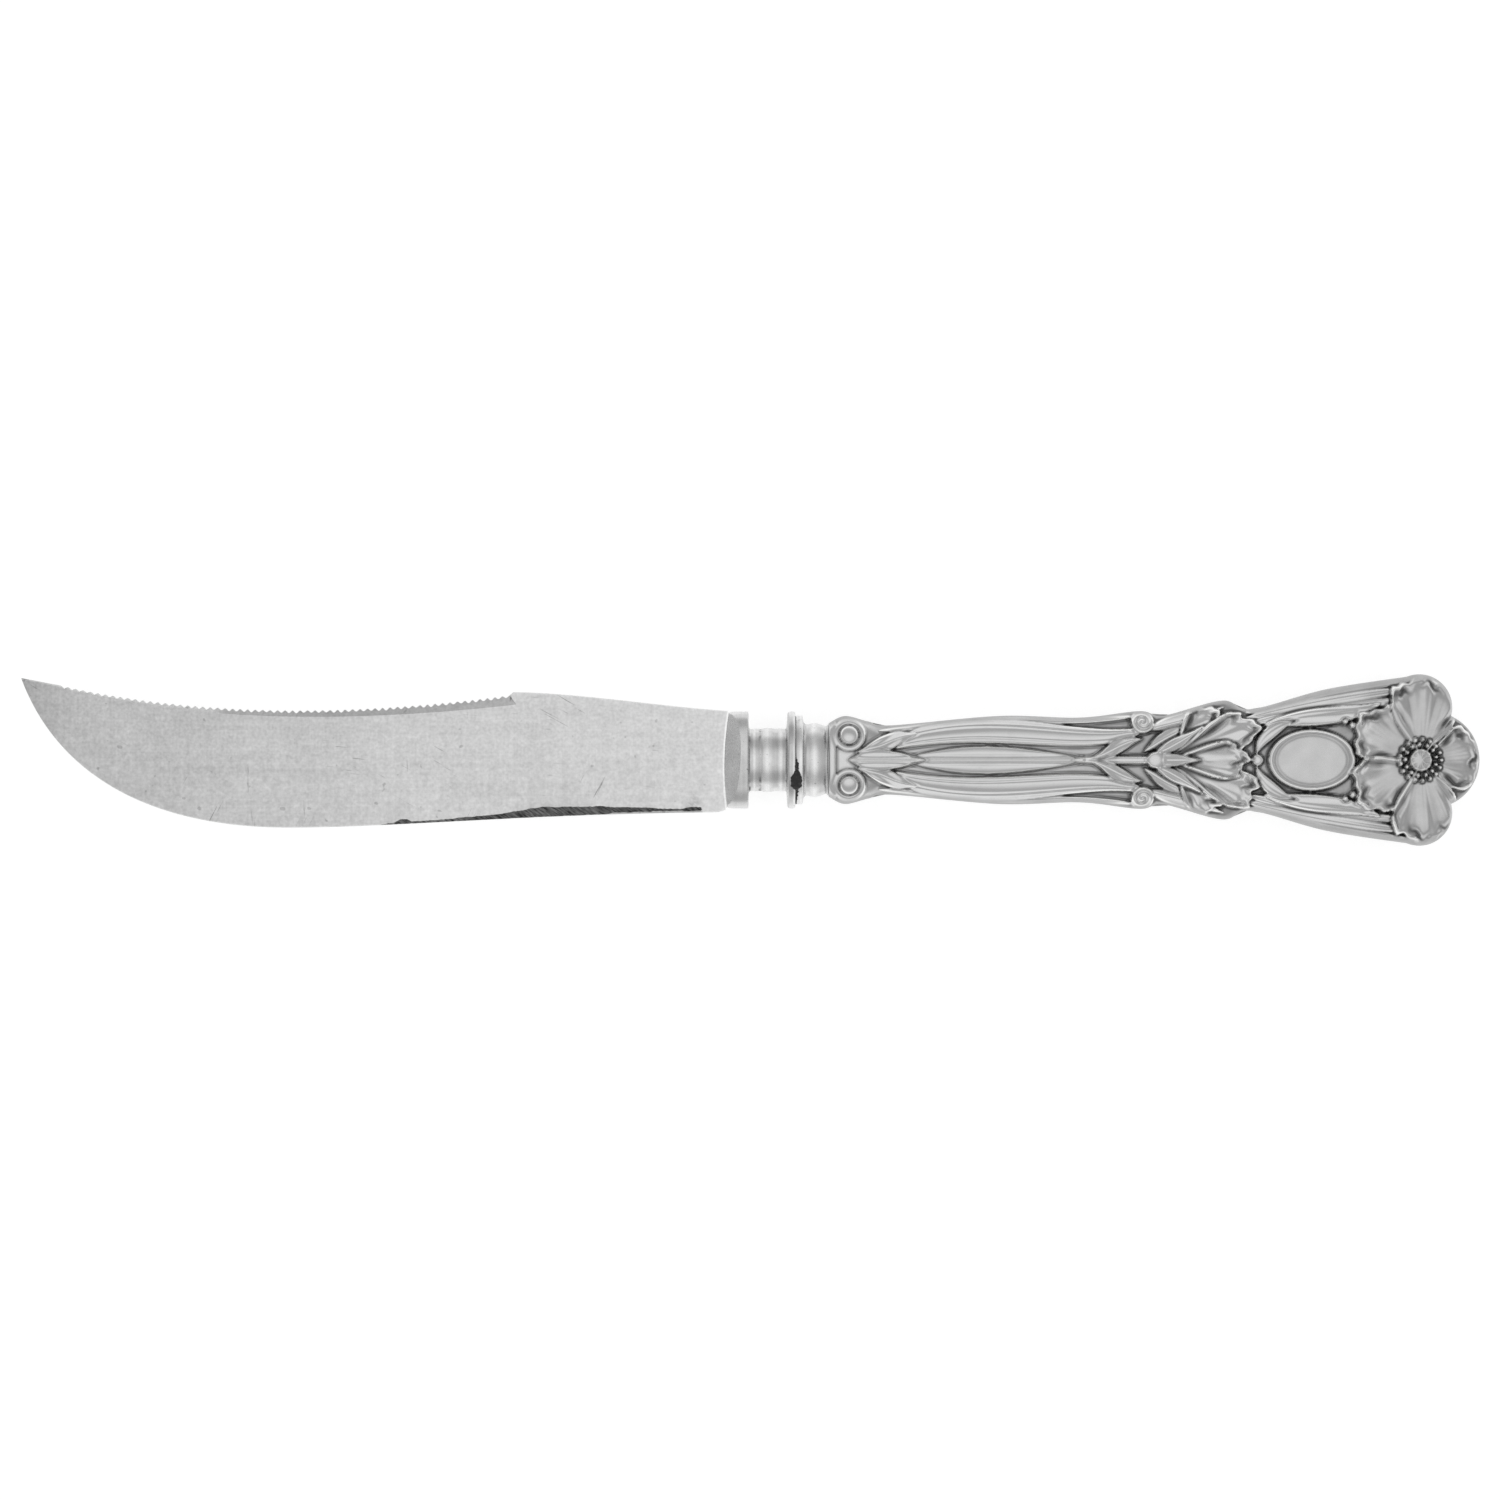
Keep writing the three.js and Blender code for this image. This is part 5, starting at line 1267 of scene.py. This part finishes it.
# %% Rulings of the shell
OUTER_ROWS, INNER_ROWS, WALL, BASE = 66, 5, 0.6, 0.15
legs = np.hypot(*np.diff(upper_edge, axis=0).T)
walked = np.concatenate([[0], np.cumsum(legs)])
even = np.linspace(0, walked[-1], 640)
edge = np.stack([np.interp(even, walked, upper_edge[:, 0]), np.interp(even, walked, upper_edge[:, 1])], 1)
edge = np.concatenate([edge, edge[-2::-1] * (1, -1)])
foot = np.stack([np.minimum(edge[:, 0], FOCUS), 0 * edge[:, 0]], 1)
GROUND_U = [0, 6, 21, 38, 48, 59, 72, 81]
GROUND_Z = [3.0, 2.95, 3.05, 2.95, 2.95, 3.1, 3.1, 3.05]
ARCH_POWER, HIGHEST = 2.6, 4.69


def ground(u, share):
    depth = np.interp(u, GROUND_U, GROUND_Z)
    return depth * np.clip(1 - share ** ARCH_POWER, 0, 1) ** (1 / ARCH_POWER)


def read_sheet(values, u, v):
    """A value of the sheet between its grid points."""
    i, j = (u - SHEET_LOW[0]) / GRID, (v - SHEET_LOW[1]) / GRID
    i0, j0 = np.floor(i).astype(int), np.floor(j).astype(int)
    i0, j0 = np.clip(i0, 0, values.shape[0] - 2), np.clip(j0, 0, values.shape[1] - 2)
    fi, fj = np.clip(i - i0, 0, 1), np.clip(j - j0, 0, 1)
    near = values[i0, j0] * (1 - fj) + values[i0, j0 + 1] * fj
    far = values[i0 + 1, j0] * (1 - fj) + values[i0 + 1, j0 + 1] * fj
    return near * (1 - fi) + far * fi


even_share = np.linspace(0, 1, OUTER_ROWS + 1)
share = 0.45 * even_share + 0.55 * np.sin(even_share * np.pi / 2)
outer = foot[:, None] + (edge - foot)[:, None] * share[:, None]
relief = read_sheet(sheet, outer[..., 0], outer[..., 1]) * smooth((1 - share) * 10)
outer_z = np.clip(ground(outer[..., 0], share) + relief, BASE, HIGHEST)
print(f"{len(edge)} rulings, highest point {outer_z.max():.2f} mm over the seam")

# %% [markdown]
# Where the silver is dark
#
# Oxide stays wherever a place lies lower than its surroundings. The surroundings are the same sheet,
# blurred at three sizes: fine lines, the gaps between petals, and the wide ground round the forms. How far
# a place lies below each blur, added up, is its darkness. The shaft, which is held, is brighter, and the
# end and the shield are darker. A band along the edge is darkened as painted shade on the steep sides. What
# stands out sharply over a small blur is a ridge, which was rubbed and is also given a painted highlight.
# The steep wall beside the edge keeps a plain middle tone, because marks would be drawn out to streaks
# there.

# %% Where the silver is dark
PLAIN_TONE = 0.5
below = sum(weight * (blurred(sheet, reach) - sheet) for reach, weight in ((3, 2.4), (8, 0.8), (22, 0.22)))
darkness = smooth((read_sheet(below, outer[..., 0], outer[..., 1]) - 0.04) / 0.7)
low_ground = smooth((0.28 - read_sheet(sheet, outer[..., 0], outer[..., 1])) / 0.3)
darkness = np.maximum(darkness, 0.55 * low_ground)
along_u = outer[..., 0]
darkness = darkness * (0.55 + 0.45 * smooth((along_u - 30) / 12))
darkness = darkness + 0.24 * smooth((along_u - 64) / 5)
from_shield = np.hypot((along_u - SHIELD[0]) / SHIELD[1], outer[..., 1] / SHIELD[2])
darkness = darkness + 0.2 * smooth(4 * (1.05 - from_shield))
# painted shade: a band along the edge is darkened, as the steep sides that face the floor would be shaded
darkness = np.maximum(darkness, 0.5 * smooth((share - 0.84) / 0.12))
# ridges are made bright: rubbed wear, and a painted highlight
ridges = smooth((read_sheet(sheet - blurred(sheet, 2), outer[..., 0], outer[..., 1]) - 0.045) / 0.09)
off_wall = smooth((0.975 - share) / 0.065)
darkness, ridges = PLAIN_TONE + (darkness - PLAIN_TONE) * off_wall, ridges * off_wall
print(f"dark share of the handle: {(darkness > PLAIN_TONE).mean():.2f}")

# %% [markdown]
# The two halves of the handle
#
# Each half is one skin: out over the relief from the spine to the edge, round the rim, and back inside as
# a plain hollow wall. The skin is folded along the spine, so merging its corners closes it, and the open
# mouth is filled. The back half is the front half turned over about the knife's axis.

# %% The two halves of the handle
HALVES = (("handle_front_struck", "handle_front", 1), ("handle_back_struck", "handle_back", -1))
RIDGE_SHARE, SPINE_MERGE = 0.8, 2e-6
inset = edge + (foot - edge) * (WALL / np.hypot(*(edge - foot).T))[:, None]
inset[0, 0] = inset[-1, 0] = 0.0
inner_share = np.cos(np.linspace(0, np.pi / 2, INNER_ROWS + 1))
inner = foot[:, None] + (inset - foot)[:, None] * inner_share[:, None]
inner_z = np.maximum(ground(inner[..., 0], inner_share) - WALL, BASE)
rim_z = np.full((len(edge), 1), BASE)
shell_uv = np.concatenate([outer, edge[:, None], inset[:, None], inner], 1)
shell_z = np.concatenate([outer_z, rim_z, rim_z, inner_z], 1)
shell_dark = np.concatenate([darkness, np.full((len(edge), INNER_ROWS + 3), PLAIN_TONE)], 1)
shell_rubbed = np.concatenate([RIDGE_SHARE * ridges, np.zeros((len(edge), INNER_ROWS + 3))], 1)
for name, node, side in HALVES:
    places = np.stack([MOUTH_X + shell_uv[..., 0], side * shell_uv[..., 1], SEAM_Z + side * shell_z], 2)
    half = skin(name, places, oxide=shell_dark, rubbed=shell_rubbed)
    close_up(merge=SPINE_MERGE)
    settle(half, HANDLE_SILVER, "handle_silver", node, angle=80)

# %% [markdown]
# Seam and filling
#
# The solder in the seam and the cement inside are right as they are: a thin flat band and a hidden core.
# They keep their solids and only get a proper finish.

# %% Seam and filling
for node, finish in (("seam_solder", SOLDER), ("cement_core", CEMENT)):
    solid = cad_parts[node]
    solid.data.materials.clear()
    solid.data.materials.append(finish)
    print("finish of", node, "is", finish.name)

# %% [markdown]
# Floor
#
# The knife was pictured from straight above on white. A grey floor would have to be lit very strongly to
# look white, which would spoil the metal. Instead the paper adds a little white of its own for the rays
# that are seen, directly or in the metal, and still receives the shadow of the knife.

# %% Floor
PAPER_GLOW = 0.76


def seen_rays(tree):
    path = tree.nodes.new("ShaderNodeLightPath")
    seen = sums(tree, "MAXIMUM", path.outputs["Is Camera Ray"], path.outputs["Is Glossy Ray"])
    return sums(tree, "MAXIMUM", seen, path.outputs["Is Transmission Ray"])


deselect()
bpy.ops.mesh.primitive_plane_add(size=6, location=(0, 0, 0))
floor = bpy.context.object
floor.name = "white_floor"
paper, tree, shader = finish_named("white paper", metallic=0.0)
shader.inputs["Roughness"].default_value = 0.9
shader.inputs["Specular IOR Level"].default_value = 0.0
fibre = noise(tree, place_of(tree), 400.0, 4.0)
tree.links.new(ranged(tree, fibre, 0.3, 0.7, 0.43, 0.45), shader.inputs["Base Color"])
shader.inputs["Emission Color"].default_value = (1, 1, 1, 1)
tree.links.new(sums(tree, "MULTIPLY", seen_rays(tree), PAPER_GLOW), shader.inputs["Emission Strength"])
floor.data.materials.append(paper)
floor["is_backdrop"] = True
print("floor", [round(v, 1) for v in floor.dimensions[:2]], "m")

# %% [markdown]
# Light
#
# The light is soft and comes from all round. Metal is mostly a picture of its surroundings, so these
# matter more than any lamp, and the world alone lights the knife: a pale patch overhead gives the flat
# blade its even grey, a darker belt round it shades every slope, and near the horizon it is white again,
# as the floor is, which shows in steep sides. The camera itself sees plain white.

# %% Light
world = bpy.data.worlds.new("soft light tent")
world.use_nodes = True
bpy.context.scene.world = world
tree = world.node_tree
direction = add(tree, "TexCoord", {}, out="Generated")
upward = add(tree, "SeparateXYZ", {"Vector": direction}, out="Z")
belt = greys(tree, upward, [(0.0, 1.0), (0.12, 0.8), (0.35, 0.53), (0.7, 0.53), (0.92, 0.95), (1.0, 1.0)])
path = tree.nodes.new("ShaderNodeLightPath")
sky = mixed(tree, path.outputs["Is Camera Ray"], belt, (1, 1, 1, 1))
tree.links.new(sky, tree.nodes["Background"].inputs["Color"])
print("light from", world.name)

# %% [markdown]
# Camera
#
# The camera hangs over the middle of the picture and looks straight down through a long lens, so that the
# knife keeps its true outline. The picture is square, and its width on the knife is 185.4 mm.

# %% Camera
LENS, SENSOR, VIEW_WIDTH, VIEW_MIDDLE_Y = 100.0, 36.0, 0.18544, 0.001236
deselect()
camera_height = SEAM_Z * MM + VIEW_WIDTH * LENS / SENSOR
bpy.ops.object.camera_add(location=(0, VIEW_MIDDLE_Y, camera_height), rotation=(0, 0, 0))
camera = bpy.context.object
camera.data.lens, camera.data.sensor_width = LENS, SENSOR
bpy.context.scene.camera = camera
bpy.context.scene.view_settings.view_transform = "Standard"
print(f"camera {camera.location.z:.3f} m over the floor")

# %% [markdown]
# Sizes
#
# The detailed pieces have to fill the same space as the solids, so the box of what is seen now is
# printed.

# %% Sizes
low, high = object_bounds()
print("visual box in mm:", [round(v / MM, 2) for v in high - low])
